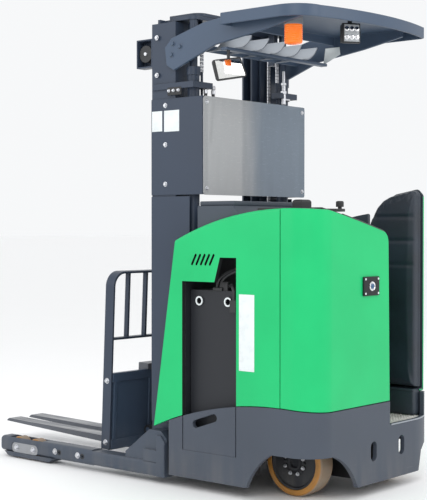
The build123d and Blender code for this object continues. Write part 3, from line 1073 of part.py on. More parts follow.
# Load backrest: bent flat bar, a lower bar and five uprights
BACKREST_HALF_WIDTH = CARRIAGE_HALF_WIDTH + 12.0
BACKREST_TOP = 915.0
BACKREST_BAR = 12.0
BACKREST_CORNER = 84.0
BACKREST_RAIL = 530.0
backrest_depth = (26.0, 90.0)
with BuildPart() as load_backrest:
    with BuildSketch(tilted_front(backrest_depth[0])):
        with Locations((0, (LOW_BAR[0] + BACKREST_TOP) / 2)):
            outer_bar = Rectangle(2 * BACKREST_HALF_WIDTH, BACKREST_TOP - LOW_BAR[0])
        fillet(outer_bar.vertices().group_by(Axis.Y)[-1], radius=BACKREST_CORNER)
        with BuildSketch(mode=Mode.PRIVATE) as inside:
            with Locations((0, (LOW_BAR[0] - 1 + BACKREST_TOP - BACKREST_BAR) / 2)):
                inner_bar = Rectangle(2 * CARRIAGE_HALF_WIDTH, BACKREST_TOP - BACKREST_BAR - LOW_BAR[0] + 1)
            fillet(inner_bar.vertices().group_by(Axis.Y)[-1], radius=BACKREST_CORNER - BACKREST_BAR)
        add(inside.sketch, mode=Mode.SUBTRACT)
    extrude(amount=backrest_depth[1] - backrest_depth[0])
    tilted_block((40.0, 76.0), (-CARRIAGE_HALF_WIDTH - 2, CARRIAGE_HALF_WIDTH + 2),
                 (BACKREST_RAIL, BACKREST_RAIL + BACKREST_BAR))
    bar_pitch = BACKREST_HALF_WIDTH / 3
    for index in range(5):
        bar_y = (index - 2) * bar_pitch
        tilted_block((44.0, 72.0), (bar_y - 7, bar_y + 7), (BACKREST_RAIL + 10, BACKREST_TOP - BACKREST_BAR + 2))
load_backrest.part.label = "load_backrest"
export_step(load_backrest.part, "parts/load_backrest.step")

# Forks: hooked shank, heel and tapered blade
fork_end = FORK_FACE + FORK_LENGTH
fork_rear = FORK_FACE - FORK_THICKNESS
for fork_name, side in (("fork_left", 1), ("fork_right", -1)):
    fork_y = (side * FORK_SPACING / 2 - FORK_WIDTH / 2, side * FORK_SPACING / 2 + FORK_WIDTH / 2)
    with BuildPart() as fork:
        with BuildSketch(tilted_side(fork_y[1])):
            with BuildLine():
                Polyline((fork_rear, TOP_BAR[1]), (BAR_REAR - 6, TOP_BAR[1]), (BAR_REAR - 6, TOP_BAR[1] + 34),
                         (FORK_FACE, TOP_BAR[1] + 34), (FORK_FACE, FORK_BOTTOM + FORK_THICKNESS),
                         (fork_end - 16, FORK_BOTTOM + FORK_TIP_THICKNESS), (fork_end, FORK_BOTTOM + 4),
                         (fork_end, FORK_BOTTOM), (FORK_FACE, FORK_BOTTOM),
                         (fork_rear, FORK_BOTTOM + FORK_THICKNESS), (fork_rear, TOP_BAR[1]))
            make_face()
        extrude(amount=FORK_WIDTH)
    fork.part.label = fork_name
    export_step(fork.part, f"parts/{fork_name}.step")

# Overhead guard: bowed roof with a rim, carried by two webs from the mast and a cross beam
BEAM_X = (ahead(336.0), ahead(380.0))
BEAM_TOP = GUARD_TOP - 154.0
BEAM_THICKNESS = 16.0
FRONT_BAR_X = (ahead(540.0), ahead(554.0))
FRONT_BAR_HEIGHT = 36.0
# Side outline of a web: ahead of the drive axle, below the roof's top
WEB_OUTLINE = (
    (-150.0, 0.0), (-150.0, 52.0), (100.0, 98.0), (400.0, 140.0), (690.0, 248.0),
    (740.0, 218.0), (752.0, 124.0), (704.0, 78.0), (480.0, 18.0), (300.0, 0.0),
)
with BuildPart() as guard_frame:
    with BuildSketch(Plane.XY.offset(GUARD_TOP - GUARD_RIM)) as roof:
        with BuildLine():
            left_x = GUARD_REAR_X + 75.0
            right_x = GUARD_REAR_X + 46.0
            left_y = GUARD_HALF_WIDTH - GUARD_LEFT_CORNER
            right_y = GUARD_RIGHT_CORNER - GUARD_HALF_WIDTH
            Line((GUARD_FRONT_X, GUARD_HALF_WIDTH), (left_x + GUARD_LEFT_CORNER, GUARD_HALF_WIDTH))
            RadiusArc((left_x + GUARD_LEFT_CORNER, GUARD_HALF_WIDTH), (left_x, left_y), -GUARD_LEFT_CORNER)
            ThreePointArc((left_x, left_y), (GUARD_REAR_X, -100.0), (right_x, right_y))
            RadiusArc((right_x, right_y), (right_x + GUARD_RIGHT_CORNER, -GUARD_HALF_WIDTH), -GUARD_RIGHT_CORNER)
            Line((right_x + GUARD_RIGHT_CORNER, -GUARD_HALF_WIDTH), (GUARD_FRONT_X, -GUARD_HALF_WIDTH))
            Line((GUARD_FRONT_X, -GUARD_HALF_WIDTH), (GUARD_FRONT_X, GUARD_HALF_WIDTH))
        make_face()
    extrude(amount=GUARD_RIM)
    with BuildSketch(Plane.XY.offset(GUARD_TOP - GUARD_RIM)):
        offset(roof.sketch, amount=-GUARD_PLATE)
    extrude(amount=GUARD_RIM - GUARD_PLATE, mode=Mode.SUBTRACT)
    web_points = [(ahead(distance), GUARD_TOP - drop) for distance, drop in WEB_OUTLINE]
    for side in (1, -1):
        side_prism(web_points, sorted((side * MAST_HALF_WIDTH, side * (MAST_HALF_WIDTH + WEB_THICKNESS))))
    beam_y = (-MAST_HALF_WIDTH - 1, MAST_HALF_WIDTH + 1)
    span_box(BEAM_X, beam_y, (BEAM_TOP - BEAM_THICKNESS, BEAM_TOP))
    span_box(FRONT_BAR_X, beam_y, (BEAM_TOP, BEAM_TOP + FRONT_BAR_HEIGHT))
guard_frame.part.label = "guard_frame"
export_step(guard_frame.part, "parts/guard_frame.step")

# Louvre blades between the cross beam and the front bar, each rising to the right
LOUVRE_PITCH = 146.0
with BuildPart() as guard_louvres:
    for index in range(5):
        blade_y = (2 - index) * LOUVRE_PITCH
        with BuildSketch(rear_plane(BEAM_X[0] + 4.0)):
            with BuildLine():
                under = ThreePointArc((blade_y + 62, BEAM_TOP), (blade_y - 18, BEAM_TOP + 28),
                                      (blade_y - 62, BEAM_TOP + 80))
                over = ThreePointArc((blade_y + 63, BEAM_TOP + 5), (blade_y - 14, BEAM_TOP + 32),
                                     (blade_y - 57, BEAM_TOP + 82))
                Line(under @ 0, over @ 0)
                Line(under @ 1, over @ 1)
            make_face()
        extrude(amount=FRONT_BAR_X[0] - BEAM_X[0] - 4.0)
guard_louvres.part.label = "guard_louvres"
export_step(guard_louvres.part, "parts/guard_louvres.step")

# Beacon hung under the roof's rear left corner
BEACON_X, BEACON_Y = ahead(-46.0), GUARD_HALF_WIDTH - 152.0
BEACON_RADIUS = 47.0
BEACON_SEAM_Z = GUARD_TOP - 63.0
BEACON_LOW_Z = GUARD_TOP - 176.0
roof_under = GUARD_TOP - GUARD_PLATE
with BuildPart() as beacon_base:
    pin_z(BEACON_X, BEACON_Y, BEACON_RADIUS, (BEACON_SEAM_Z, roof_under))
beacon_base.part.label = "beacon_base"
export_step(beacon_base.part, "parts/beacon_base.step")

with BuildPart() as beacon_lens:
    pin_z(BEACON_X, BEACON_Y, BEACON_RADIUS - 1.0, (BEACON_LOW_Z, BEACON_SEAM_Z))
    fillet(beacon_lens.edges().filter_by(GeomType.CIRCLE).group_by(Axis.Z)[0], radius=10.0)
beacon_lens.part.label = "beacon_lens"
export_step(beacon_lens.part, "parts/beacon_lens.step")

# Work lamp under the roof, facing back and turned to the left
LAMP_X, LAMP_Y = ahead(-157.0), 60.0
LAMP_TURN = radians(35.0)
LAMP_WIDTH = 96.0
LAMP_HEIGHT = 102.0
LAMP_DEPTH = 58.0
lamp_z = roof_under - 32.0 - LAMP_HEIGHT / 2
with BuildPart() as work_lamp:
    with BuildSketch(Plane(origin=(LAMP_X, LAMP_Y, lamp_z), x_dir=(sin(LAMP_TURN), cos(LAMP_TURN), 0),
                           z_dir=(-cos(LAMP_TURN), sin(LAMP_TURN), 0))):
        RectangleRounded(LAMP_WIDTH, LAMP_HEIGHT, 10.0)
    extrude(amount=LAMP_DEPTH / 2, both=True)
    pin_z(LAMP_X, LAMP_Y, 12.0, (lamp_z, roof_under))
work_lamp.part.label = "work_lamp"
export_step(work_lamp.part, "parts/work_lamp.step")

# Mirror on a stalk below the left end of the cross beam
MIRROR_X, MIRROR_Y, MIRROR_Z = BEAM_X[0] + 10.0, MAST_HALF_WIDTH - 22.0, BEAM_TOP - 114.0
with BuildPart() as mirror_panel:
    pin_z(MIRROR_X, MIRROR_Y, 8.0, (MIRROR_Z + 20, BEAM_TOP - BEAM_THICKNESS))
    with BuildSketch(Plane(origin=(MIRROR_X, MIRROR_Y, MIRROR_Z), x_dir=(0.35, 0.94, 0), z_dir=(-0.94, 0.35, 0))):
        with BuildLine():
            Polyline((-102.0, 34.0), (72.0, 66.0), (102.0, -40.0), (-60.0, -66.0), close=True)
        mirror_face = make_face()
        fillet(mirror_face.vertices(), radius=16.0)
    extrude(amount=20.0)
mirror_panel.part.label = "mirror_panel"
export_step(mirror_panel.part, "parts/mirror_panel.step")

# Open bracket box on the front of the left outer rail
with BuildPart() as hose_bracket:
    box_x = (MAST_FRONT_X, MAST_FRONT_X + 116.0)
    box_in = MAST_HALF_WIDTH - 64.0
    box_z = (GUARD_TOP - 216.0, GUARD_TOP - 62.0)
    span_box(box_x, (box_in, MAST_HALF_WIDTH), box_z)
    span_box((box_x[0] + 8, box_x[1] - 8), (box_in + 8, MAST_HALF_WIDTH + 1), (box_z[0] + 8, box_z[1] - 8),
             Mode.SUBTRACT)
hose_bracket.part.label = "hose_bracket"
export_step(hose_bracket.part, "parts/hose_bracket.step")
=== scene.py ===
"""Looks of a stand-up reach truck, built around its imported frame.

Lengths are metres. Places on the truck are given as distance ahead of the drive axle, distance to the left of
the middle and height above the floor.
"""
from __future__ import annotations

import json
import logging
import math
from dataclasses import dataclass
from enum import Enum
from typing import ClassVar, Iterable, Sequence

import bmesh
import bpy
from mathutils import Matrix, Vector
from mathutils.bvhtree import BVHTree

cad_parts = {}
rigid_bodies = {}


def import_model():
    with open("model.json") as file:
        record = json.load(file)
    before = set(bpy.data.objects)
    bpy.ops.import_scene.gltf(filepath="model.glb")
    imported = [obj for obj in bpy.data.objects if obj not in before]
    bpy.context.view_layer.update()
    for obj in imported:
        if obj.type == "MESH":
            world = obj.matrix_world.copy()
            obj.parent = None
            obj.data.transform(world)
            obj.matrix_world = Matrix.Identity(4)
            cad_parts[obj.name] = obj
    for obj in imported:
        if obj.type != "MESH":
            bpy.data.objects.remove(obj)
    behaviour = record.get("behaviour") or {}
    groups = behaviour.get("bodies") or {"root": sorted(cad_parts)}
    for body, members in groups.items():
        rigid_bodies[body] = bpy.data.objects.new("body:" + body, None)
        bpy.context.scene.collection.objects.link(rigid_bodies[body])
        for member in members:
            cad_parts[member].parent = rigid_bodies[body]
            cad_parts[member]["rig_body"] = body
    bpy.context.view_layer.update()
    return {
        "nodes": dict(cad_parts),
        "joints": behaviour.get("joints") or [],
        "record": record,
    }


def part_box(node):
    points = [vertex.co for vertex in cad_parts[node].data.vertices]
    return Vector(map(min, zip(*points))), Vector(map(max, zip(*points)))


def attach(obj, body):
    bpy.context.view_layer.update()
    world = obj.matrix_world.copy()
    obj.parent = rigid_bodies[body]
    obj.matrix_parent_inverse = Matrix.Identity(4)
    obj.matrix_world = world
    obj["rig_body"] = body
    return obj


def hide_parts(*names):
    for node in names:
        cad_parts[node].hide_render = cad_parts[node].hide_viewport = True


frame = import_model()

LOG = logging.getLogger("reach_truck")
JOINTS = {joint["name"]: joint for joint in frame["joints"]}
SLOT_OF = {part["node"]: part["material_slot"] for part in frame["record"]["subparts"]}
AXLE = Vector(JOINTS["drive_spin"]["pos_m"])

Color = tuple[float, float, float]
Place = tuple[float, float, float]
Corner = tuple[float, float]
Rectangle = tuple[float, float, float, float]


class Facing(Enum):
    """Directions in which a fitting can point."""

    LEFT = Vector((0, 1, 0))
    RIGHT = Vector((0, -1, 0))
    FRONT = Vector((1, 0, 0))
    REAR = Vector((-1, 0, 0))
    UP = Vector((0, 0, 1))
    DOWN = Vector((0, 0, -1))


def at(ahead: float, left: float, height: float) -> Vector:
    """Point of the row frame from its place on the truck."""
    return Vector((AXLE.x + ahead, left, height))


def body_of(node: str) -> str:
    """Name of the body that carries a CAD node."""
    return frame["nodes"][node]["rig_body"]


def surface_of(node: str) -> BVHTree:
    """Surface of a CAD node, for finding points on it."""
    data = frame["nodes"][node].data
    points = [vert.co for vert in data.vertices]
    return BVHTree.FromPolygons(points, [face.vertices for face in data.polygons])


class Signal:
    """Shader value that can stand in a Python expression; each operator adds a Math node."""

    def __init__(self, shader: Shader, socket: bpy.types.NodeSocket) -> None:
        """Keeps the socket and the shader it belongs to."""
        self.shader = shader
        self.socket = socket

    def _math(self, operation: str, *values: Signal | float) -> Signal:
        """Adds one Math node and returns its result."""
        node = self.shader.node("ShaderNodeMath", dict(enumerate(values)), operation=operation)
        return Signal(self.shader, node.outputs[0])

    def __add__(self, other: Signal | float) -> Signal:
        """Sum."""
        return self._math("ADD", self, other)

    def __sub__(self, other: Signal | float) -> Signal:
        """Difference."""
        return self._math("SUBTRACT", self, other)

    def __rsub__(self, other: float) -> Signal:
        """Difference, with the number first."""
        return self._math("SUBTRACT", other, self)

    def __mul__(self, other: Signal | float) -> Signal:
        """Product."""
        return self._math("MULTIPLY", self, other)

    def __truediv__(self, other: Signal | float) -> Signal:
        """Quotient."""
        return self._math("DIVIDE", self, other)

    def __rtruediv__(self, other: float) -> Signal:
        """Quotient, with the number first."""
        return self._math("DIVIDE", other, self)

    def __pow__(self, other: Signal | float) -> Signal:
        """Power."""
        return self._math("POWER", self, other)

    __radd__ = __add__
    __rmul__ = __mul__

    def clamped(self) -> Signal:
        """The value kept between 0 and 1."""
        return self._math("MINIMUM", self._math("MAXIMUM", self, 0.0), 1.0)

    def ramp(self, low: float, high: float) -> Signal:
        """Smooth rise from 0 to 1 between two values."""
        node = self.shader.node("ShaderNodeMapRange", {"Value": self, "From Min": low, "From Max": high},
                                interpolation_type="SMOOTHSTEP")
        return Signal(self.shader, node.outputs["Result"])


class NodeTree:
    """Node tree that takes nodes together with their settings, values and links."""

    def __init__(self, tree: bpy.types.NodeTree) -> None:
        """Keeps the tree."""
        self.tree = tree

    def node(self, kind: str, inputs: dict | None = None, **settings: object) -> bpy.types.Node:
        """Adds any node.

        Args:
            kind: The node's type.
            inputs: Values or links by socket name or number; a list holds several links.
            settings: Attributes of the node, set before its inputs.

        Returns:
            The new node.
        """
        node = self.tree.nodes.new(kind)
        for key, value in settings.items():
            setattr(node, key, value)
        for key, value in (inputs or {}).items():
            for part in value if isinstance(value, list) else [value]:
                source = part.socket if isinstance(part, Signal) else part
                if isinstance(source, bpy.types.NodeSocket):
                    self.tree.links.new(source, node.inputs[key])
                else:
                    node.inputs[key].default_value = source
        return node


def rgba(color: Color | bpy.types.NodeSocket) -> object:
    """A colour with full alpha; a socket stays as it is."""
    return color if isinstance(color, bpy.types.NodeSocket) else (*color, 1.0)


class Shader(NodeTree):
    """Node tree of one material."""

    def __init__(self, name: str) -> None:
        """Starts an empty material that reads Object coordinates."""
        self.material = bpy.data.materials.new(name)
        self.material.use_nodes = True
        super().__init__(self.material.node_tree)
        self.tree.nodes.clear()
        self.place = self.node("ShaderNodeTexCoord").outputs["Object"]

    def noise(self, scale: float, detail: float = 3.0, stretch: Sequence[float] = (1, 1, 1)) -> Signal:
        """Fractal noise, centred on 0.5.

        Args:
            scale: Lumps to the metre.
            detail: Number of finer layers.
            stretch: How much the lumps are squeezed along each axis.

        Returns:
            The noise value.
        """
        place = self.place
        if tuple(stretch) != (1, 1, 1):
            place = self.node("ShaderNodeMapping", {"Vector": place, "Scale": stretch}).outputs[0]
        node = self.node("ShaderNodeTexNoise", {"Vector": place, "Scale": scale, "Detail": detail})
        return Signal(self, node.outputs[0])

    def cells(self, scale: float) -> Signal:
        """Distance to the edge of Voronoi cells, for grain."""
        node = self.node("ShaderNodeTexVoronoi", {"Vector": self.place, "Scale": scale},
                         feature="DISTANCE_TO_EDGE")
        return Signal(self, node.outputs["Distance"])

    def axis(self, name: str) -> Signal:
        """One Object coordinate: X, Y or Z."""
        return Signal(self, self.node("ShaderNodeSeparateXYZ", {0: self.place}).outputs[name])

    def mix(self, factor: Signal | float, first: object, second: object) -> bpy.types.NodeSocket:
        """Colour between two colours."""
        inputs = {0: factor, 6: rgba(first), 7: rgba(second)}
        return self.node("ShaderNodeMix", inputs, data_type="RGBA").outputs[2]

    def rounded(self, radius: float) -> tuple[bpy.types.NodeSocket, Signal]:
        """Normal rounded at the edges, and a mask that is high along them.

        Args:
            radius: Radius of the rounding.

        Returns:
            The normal and the edge mask.
        """
        bevel = self.node("ShaderNodeBevel", {"Radius": radius}, samples=4).outputs[0]
        true = self.node("ShaderNodeNewGeometry").outputs["Normal"]
        dot = self.node("ShaderNodeVectorMath", {0: bevel, 1: true}, operation="DOT_PRODUCT")
        return bevel, (1.0 - Signal(self, dot.outputs["Value"])).clamped()

    def upward(self) -> Signal:
        """How far the surface faces up."""
        normal = self.node("ShaderNodeNewGeometry").outputs["Normal"]
        return Signal(self, self.node("ShaderNodeSeparateXYZ", {0: normal}).outputs["Z"])

    def relief(self, height: Signal, distance: float,
               normal: bpy.types.NodeSocket | None = None) -> bpy.types.NodeSocket:
        """Bump from a height value, on a given normal."""
        inputs = {"Height": height, "Distance": distance, "Strength": 1.0}
        if normal is not None:
            inputs["Normal"] = normal
        return self.node("ShaderNodeBump", inputs).outputs[0]

    def finish(self, **sockets: object) -> bpy.types.Material:
        """Ends the tree in one Principled shader.

        Args:
            sockets: Inputs of the shader, with underscores for the spaces in their names.

        Returns:
            The material.
        """
        inputs = {}
        for key, value in sockets.items():
            name = key.replace("_", " ")
            inputs[name] = rgba(value) if name.endswith("Color") else value
        shader = self.node("ShaderNodeBsdfPrincipled", inputs)
        self.node("ShaderNodeOutputMaterial", {"Surface": shader.outputs[0]})
        return self.material


@dataclass(frozen=True)
class Finish:
    """Surface of a piece; each kind makes its own material once."""

    name: str
    color: Color
    roughness: float = 0.4

    made: ClassVar[dict[str, bpy.types.Material]] = {}

    def material(self) -> bpy.types.Material:
        """The finish's material, made at its first use."""
        if self.name not in self.made:
            self.made[self.name] = self.build(Shader(self.name))
        return self.made[self.name]

    def build(self, shader: Shader) -> bpy.types.Material:
        """Makes the material's nodes."""
        raise NotImplementedError

    def tones(self, shader: Shader, factor: Signal, dark: float, light: float) -> bpy.types.NodeSocket:
        """The finish's colour, varied between a darker and a lighter share of it."""
        return shader.mix(factor, shade(self.color, dark), shade(self.color, light))


def shade(color: Color, share: float) -> Color:
    """A colour made lighter or darker by a factor."""
    return tuple(min(1.0, part * share) for part in color)


@dataclass(frozen=True)
class Paint(Finish):
    """Sprayed paint with orange peel, worn edges and dust low down."""

    grain: float = 320.0
    peel: float = 0.00005
    edge_radius: float = 0.004
    wear: float = 0.35
    chip: Color = (0.30, 0.31, 0.32)
    dust: Color = (0.34, 0.31, 0.27)
    dust_height: float = 0.30
    dusting: float = 0.14
    coat: float = 0.06
    shine: float = 0.32

    def build(self, shader: Shader) -> bpy.types.Material:
        """Paint over chipped edges, under a film of dust."""
        bevel, edge = shader.rounded(self.edge_radius)
        cloud = shader.noise(2.3, 4.0)
        speck = shader.noise(70.0, 4.0)
        streak = shader.noise(16.0, 5.0, (1, 1, 0.16))
        scuff = shader.noise(22.0, 6.0, (0.5, 0.5, 9.0))
        low = 1.0 - shader.axis("Z").ramp(0.02, self.dust_height)
        lying = shader.upward().ramp(0.75, 1.0)
        chips = (edge * 3.4 * (0.35 + speck)).ramp(0.62, 0.80) * self.wear
        scrape = scuff.ramp(0.66, 0.72) * low * (self.wear * 0.6)
        settled = lying * cloud.ramp(0.35, 0.8) * 0.5
        film = ((low * streak.ramp(0.30, 0.75) + settled) * self.dusting).clamped()
        base = self.tones(shader, cloud.ramp(0.25, 0.75), 0.93, 1.05)
        base = shader.mix(film, base, self.dust)
        base = shader.mix((chips + scrape).clamped(), base, self.chip)
        rough = (self.roughness + (cloud - 0.5) * 0.12 + film * 0.35 + chips * 0.1).clamped()
        height = shader.noise(self.grain, 2.0) - chips * 0.8
        return shader.finish(Base_Color=base, Roughness=rough, Coat_Weight=self.coat, Coat_Roughness=0.22,
                             Specular_IOR_Level=self.shine, Normal=shader.relief(height, self.peel, bevel))


@dataclass(frozen=True)
class ForkSteel(Finish):
    """Painted steel that has been scraped bare where loads slide on it."""

    bare: Color = (0.40, 0.40, 0.41)
    scrape_start: float = 0.35

    def build(self, shader: Shader) -> bpy.types.Material:
        """Paint that gives way to long bright scrapes towards the tips."""
        bevel, edge = shader.rounded(0.004)
        ahead = (shader.axis("X") - (AXLE.x + 1.25)).ramp(0.0, self.scrape_start)
        scrape = shader.noise(9.0, 8.0, (0.35, 10.0, 10.0))
        worn = (ahead * shader.upward().ramp(0.5, 0.95) * scrape.ramp(0.42, 0.62)).clamped()
        worn = (worn * 0.8 + (edge * 3.2 * (0.4 + shader.noise(60.0))).ramp(0.5, 0.7) * 0.7).clamped()
        base = self.tones(shader, shader.noise(3.0).ramp(0.3, 0.7), 0.92, 1.08)
        base = shader.mix(worn, base, self.bare)
        height = scrape * 0.6 + shader.noise(300.0) * 0.4
        return shader.finish(Base_Color=base, Metallic=worn * 0.85, Roughness=self.roughness - worn * 0.08,
                             Normal=shader.relief(height, 0.00012, bevel))


@dataclass(frozen=True)
class Metal(Finish):
    """Bare or plated metal with fine brushing and a little staining."""

    brush: Place = (1.0, 1.0, 14.0)
    stain: Color = (0.24, 0.21, 0.17)
    staining: float = 0.25

    def build(self, shader: Shader) -> bpy.types.Material:
        """Brushed metal."""
        bevel, edge = shader.rounded(0.0015)
        lines = shader.noise(130.0, 4.0, self.brush)
        cloud = shader.noise(18.0, 5.0)
        marks = cloud.ramp(0.55, 0.8) * self.staining
        base = self.tones(shader, lines, 0.86, 1.1)
        base = shader.mix(marks, base, self.stain)
        rough = (self.roughness + (lines - 0.5) * 0.16 + marks * 0.35 - edge * 0.15).clamped()
        return shader.finish(Base_Color=base, Metallic=1.0 - marks * 0.5, Roughness=rough,
                             Normal=shader.relief(lines, 0.00003, bevel))


@dataclass(frozen=True)
class Moulding(Finish):
    """Moulded plastic or rubber with a fine cell grain."""

    grain: float = 700.0
    depth: float = 0.00006
    scuffing: float = 0.2

    def build(self, shader: Shader) -> bpy.types.Material:
        """Grained moulding with rubbed edges."""
        bevel, edge = shader.rounded(0.002)
        cloud = shader.noise(6.0, 4.0)
        rub = ((edge * 3.0).ramp(0.25, 0.9) * shader.noise(40.0) * self.scuffing).clamped()
        base = self.tones(shader, cloud.ramp(0.3, 0.75), 0.85, 1.15)
        base = shader.mix(rub, base, shade(self.color, 2.6))
        rough = (self.roughness + (cloud - 0.5) * 0.14).clamped()
        return shader.finish(Base_Color=base, Roughness=rough,
                             Normal=shader.relief(shader.cells(self.grain), self.depth, bevel))


@dataclass(frozen=True)
class Urethane(Finish):
    """Cast polyurethane on a wheel, greyed where it runs on the floor."""

    centre: Place = (0.0, 0.0, 0.0)
    radius: float = 0.1
    tread: Color = (0.22, 0.20, 0.17)

    def build(self, shader: Shader) -> bpy.types.Material:
        """Amber casting with a scuffed running face."""
        bevel, edge = shader.rounded(0.003)
        across = (shader.axis("X") - self.centre[0]) ** 2.0
        upright = (shader.axis("Z") - self.centre[2]) ** 2.0
        out = ((across + upright) ** 0.5) / self.radius
        cloud = shader.noise(14.0, 5.0)
        run = out.ramp(0.955, 0.99) * (0.45 + cloud * 0.6)
        rings = shader.noise(5.0, 3.0, (0.6, 60.0, 0.6))
        base = self.tones(shader, cloud.ramp(0.3, 0.7), 0.86, 1.12)
        base = shader.mix(run.clamped(), base, self.tread)
        rough = (self.roughness + run * 0.3 + (cloud - 0.5) * 0.1).clamped()
        return shader.finish(Base_Color=base, Roughness=rough, Subsurface_Weight=0.06, Subsurface_Scale=0.01,
                             Normal=shader.relief(rings, 0.0004, bevel))


@dataclass(frozen=True)
class Vinyl(Finish):
    """Upholstery vinyl with a pebble grain."""

    def build(self, shader: Shader) -> bpy.types.Material:
        """Black vinyl."""
        cloud = shader.noise(7.0, 4.0)
        grain = shader.cells(260.0)
        base = self.tones(shader, cloud.ramp(0.3, 0.7), 0.8, 1.25)
        rough = (self.roughness + (cloud - 0.5) * 0.16 - grain.ramp(0.0, 0.2) * 0.05).clamped()
        height = grain.ramp(0.0, 0.35) * 0.7 + shader.noise(30.0, 4.0) * 0.5
        return shader.finish(Base_Color=base, Roughness=rough, Normal=shader.relief(height, 0.0003),
                             Sheen_Weight=0.08)


@dataclass(frozen=True)
class ClearSheet(Finish):
    """Scratched clear plastic sheet, with painted shade towards its right."""

    right_shade: Color = (0.2, 0.2, 0.2)
    cover: float = 0.5
    half_width: float = 0.44

    def build(self, shader: Shader) -> bpy.types.Material:
        """Hazy see-through sheet with painted shade that darkens it to the right."""
        wipe = shader.noise(5.0, 6.0, (1.0, 3.0, 0.6))
        scratch = shader.noise(40.0, 8.0, (1.0, 0.6, 12.0)).ramp(0.62, 0.7)
        haze = (self.cover + (wipe - 0.5) * 0.16 + scratch * 0.06).clamped()
        rough = (self.roughness + scratch * 0.2 + wipe * 0.08).clamped()
        place = shader.axis("Y") + (wipe - 0.5) * 0.12
        low, high = -0.2 * self.half_width, 0.35 * self.half_width
        # painted shade: the colour darkens towards the sheet's right
        base = shader.mix(place.ramp(low, high), self.right_shade, self.color)
        return shader.finish(Base_Color=base, Roughness=rough, Alpha=haze, IOR=1.5)


@dataclass(frozen=True)
class Lens(Finish):
    """Coloured lamp lens or glass."""

    glow: float = 0.0
    through: float = 0.4

    def build(self, shader: Shader) -> bpy.types.Material:
        """Tinted lens."""
        cloud = shader.noise(24.0, 3.0)
        base = self.tones(shader, cloud, 0.9, 1.1)
        rough = (self.roughness + (cloud - 0.5) * 0.08).clamped()
        return shader.finish(Base_Color=base, Roughness=rough, Transmission_Weight=self.through, IOR=1.49,
                             Emission_Color=self.color, Emission_Strength=self.glow)


@dataclass(frozen=True)
class Enamel(Finish):
    """Plain printed or enamelled plate, left blank."""

    def build(self, shader: Shader) -> bpy.types.Material:
        """Slightly yellowed blank plate."""
        cloud = shader.noise(30.0, 4.0)
        base = shader.mix(cloud.ramp(0.4, 0.8), self.color, shade(self.color, 0.9))
        rough = (self.roughness + (cloud - 0.5) * 0.15).clamped()
        return shader.finish(Base_Color=base, Roughness=rough,
                             Normal=shader.relief(shader.noise(200.0), 0.00003))


GREEN = Paint("green_paint", (0.010, 0.490, 0.158), 0.34, wear=0.12, coat=0.08, shine=0.24, dusting=0.04,
              chip=(0.45, 0.47, 0.46))
GREY = Paint("blue_grey_paint", (0.032, 0.046, 0.074), 0.42, wear=0.30)
# Lighter copy of the blue-grey paint for the guard frame and display; on the fork carriage it is painted
# light on the shaded rear face
FRAME_AND_LIT_GREY = Paint("frame_and_lit_grey_paint", (0.056, 0.084, 0.132), 0.42, wear=0.30)
LEG_GREY = Paint("leg_paint", (0.050, 0.065, 0.092), 0.42, wear=0.30)
SKIRT = Paint("skirt_paint", (0.060, 0.072, 0.096), 0.50, grain=210.0, peel=0.00022, wear=0.25, coat=0.03)
CHARCOAL = Paint("charcoal_paint", (0.020, 0.022, 0.027), 0.52, wear=0.25, coat=0.03)
COWL = Paint("cowl_paint", (0.050, 0.063, 0.082), 0.48, wear=0.15)
ZINC = Metal("zinc_plate", (0.62, 0.63, 0.66), 0.34)
CHROME = Metal("rod_chrome", (0.80, 0.80, 0.82), 0.10, staining=0.05)
OILED = Metal("oiled_steel", (0.16, 0.155, 0.15), 0.38, staining=0.5, stain=(0.03, 0.025, 0.02))
LOUVRE = Metal("louvre_aluminium", (0.38, 0.41, 0.45), 0.42, brush=(14.0, 1.0, 1.0), staining=0.10)
VINYL = Vinyl("pad_vinyl", (0.010, 0.017, 0.029), 0.48)
MAT = Moulding("mat_rubber", (0.52, 0.50, 0.48), 0.78, grain=420.0, depth=0.0002)
PLASTIC = Moulding("black_plastic", (0.017, 0.018, 0.020), 0.46)
CASTING = Paint("hub_paint", (0.018, 0.020, 0.026), 0.50, grain=160.0, peel=0.0003, wear=0.2)
# the second colour is painted shade on the shield's right side
CLEAR = ClearSheet("shield_sheet", (0.40, 0.41, 0.42), 0.16, (0.20, 0.245, 0.30), cover=0.80)
AMBER = Lens("amber_lens", (0.95, 0.22, 0.02), 0.16, glow=0.25, through=0.35)
LAMP_GREY = Moulding("lamp_plastic", (0.24, 0.25, 0.27), 0.40)
MIRROR = Metal("mirror_glass", (0.88, 0.88, 0.86), 0.04, brush=(1.0, 1.0, 1.0), staining=0.03)
LAMP_GLASS = Lens("lamp_glass", (0.80, 0.84, 0.88), 0.08, glow=0.05, through=0.6)
BLUE_GLASS = Lens("sounder_lens", (0.05, 0.13, 0.26), 0.10, through=0.2)
CASE = Moulding("sounder_case", (0.006, 0.007, 0.009), 0.62)
SCREEN = Lens("display_glass", (0.015, 0.020, 0.026), 0.06, through=0.0)
PLATE = Enamel("blank_plate", (0.74, 0.79, 0.80), 0.42)
AXLE_PLATE = Metal("axle_plate", (0.36, 0.37, 0.39), 0.42)
KICK = Moulding("kick_plastic", (0.024, 0.034, 0.048), 0.50)
RED = Moulding("connector_red", (0.20, 0.035, 0.025), 0.50)
FORK = ForkSteel("fork_paint", (0.090, 0.098, 0.116), 0.40)

SLOT_FINISH = {
    "green": GREEN, "grey": GREY, "skirt_grey": SKIRT, "charcoal": CHARCOAL, "panel_grey": COWL,
    "steel": ZINC, "chrome": CHROME, "chain": OILED, "louvre": LOUVRE, "vinyl": VINYL, "mat": MAT,
    "black_plastic": PLASTIC, "wheel_hub": CASTING, "clear": CLEAR, "amber": AMBER, "lamp_grey": LAMP_GREY,
    "mirror": MIRROR,
}


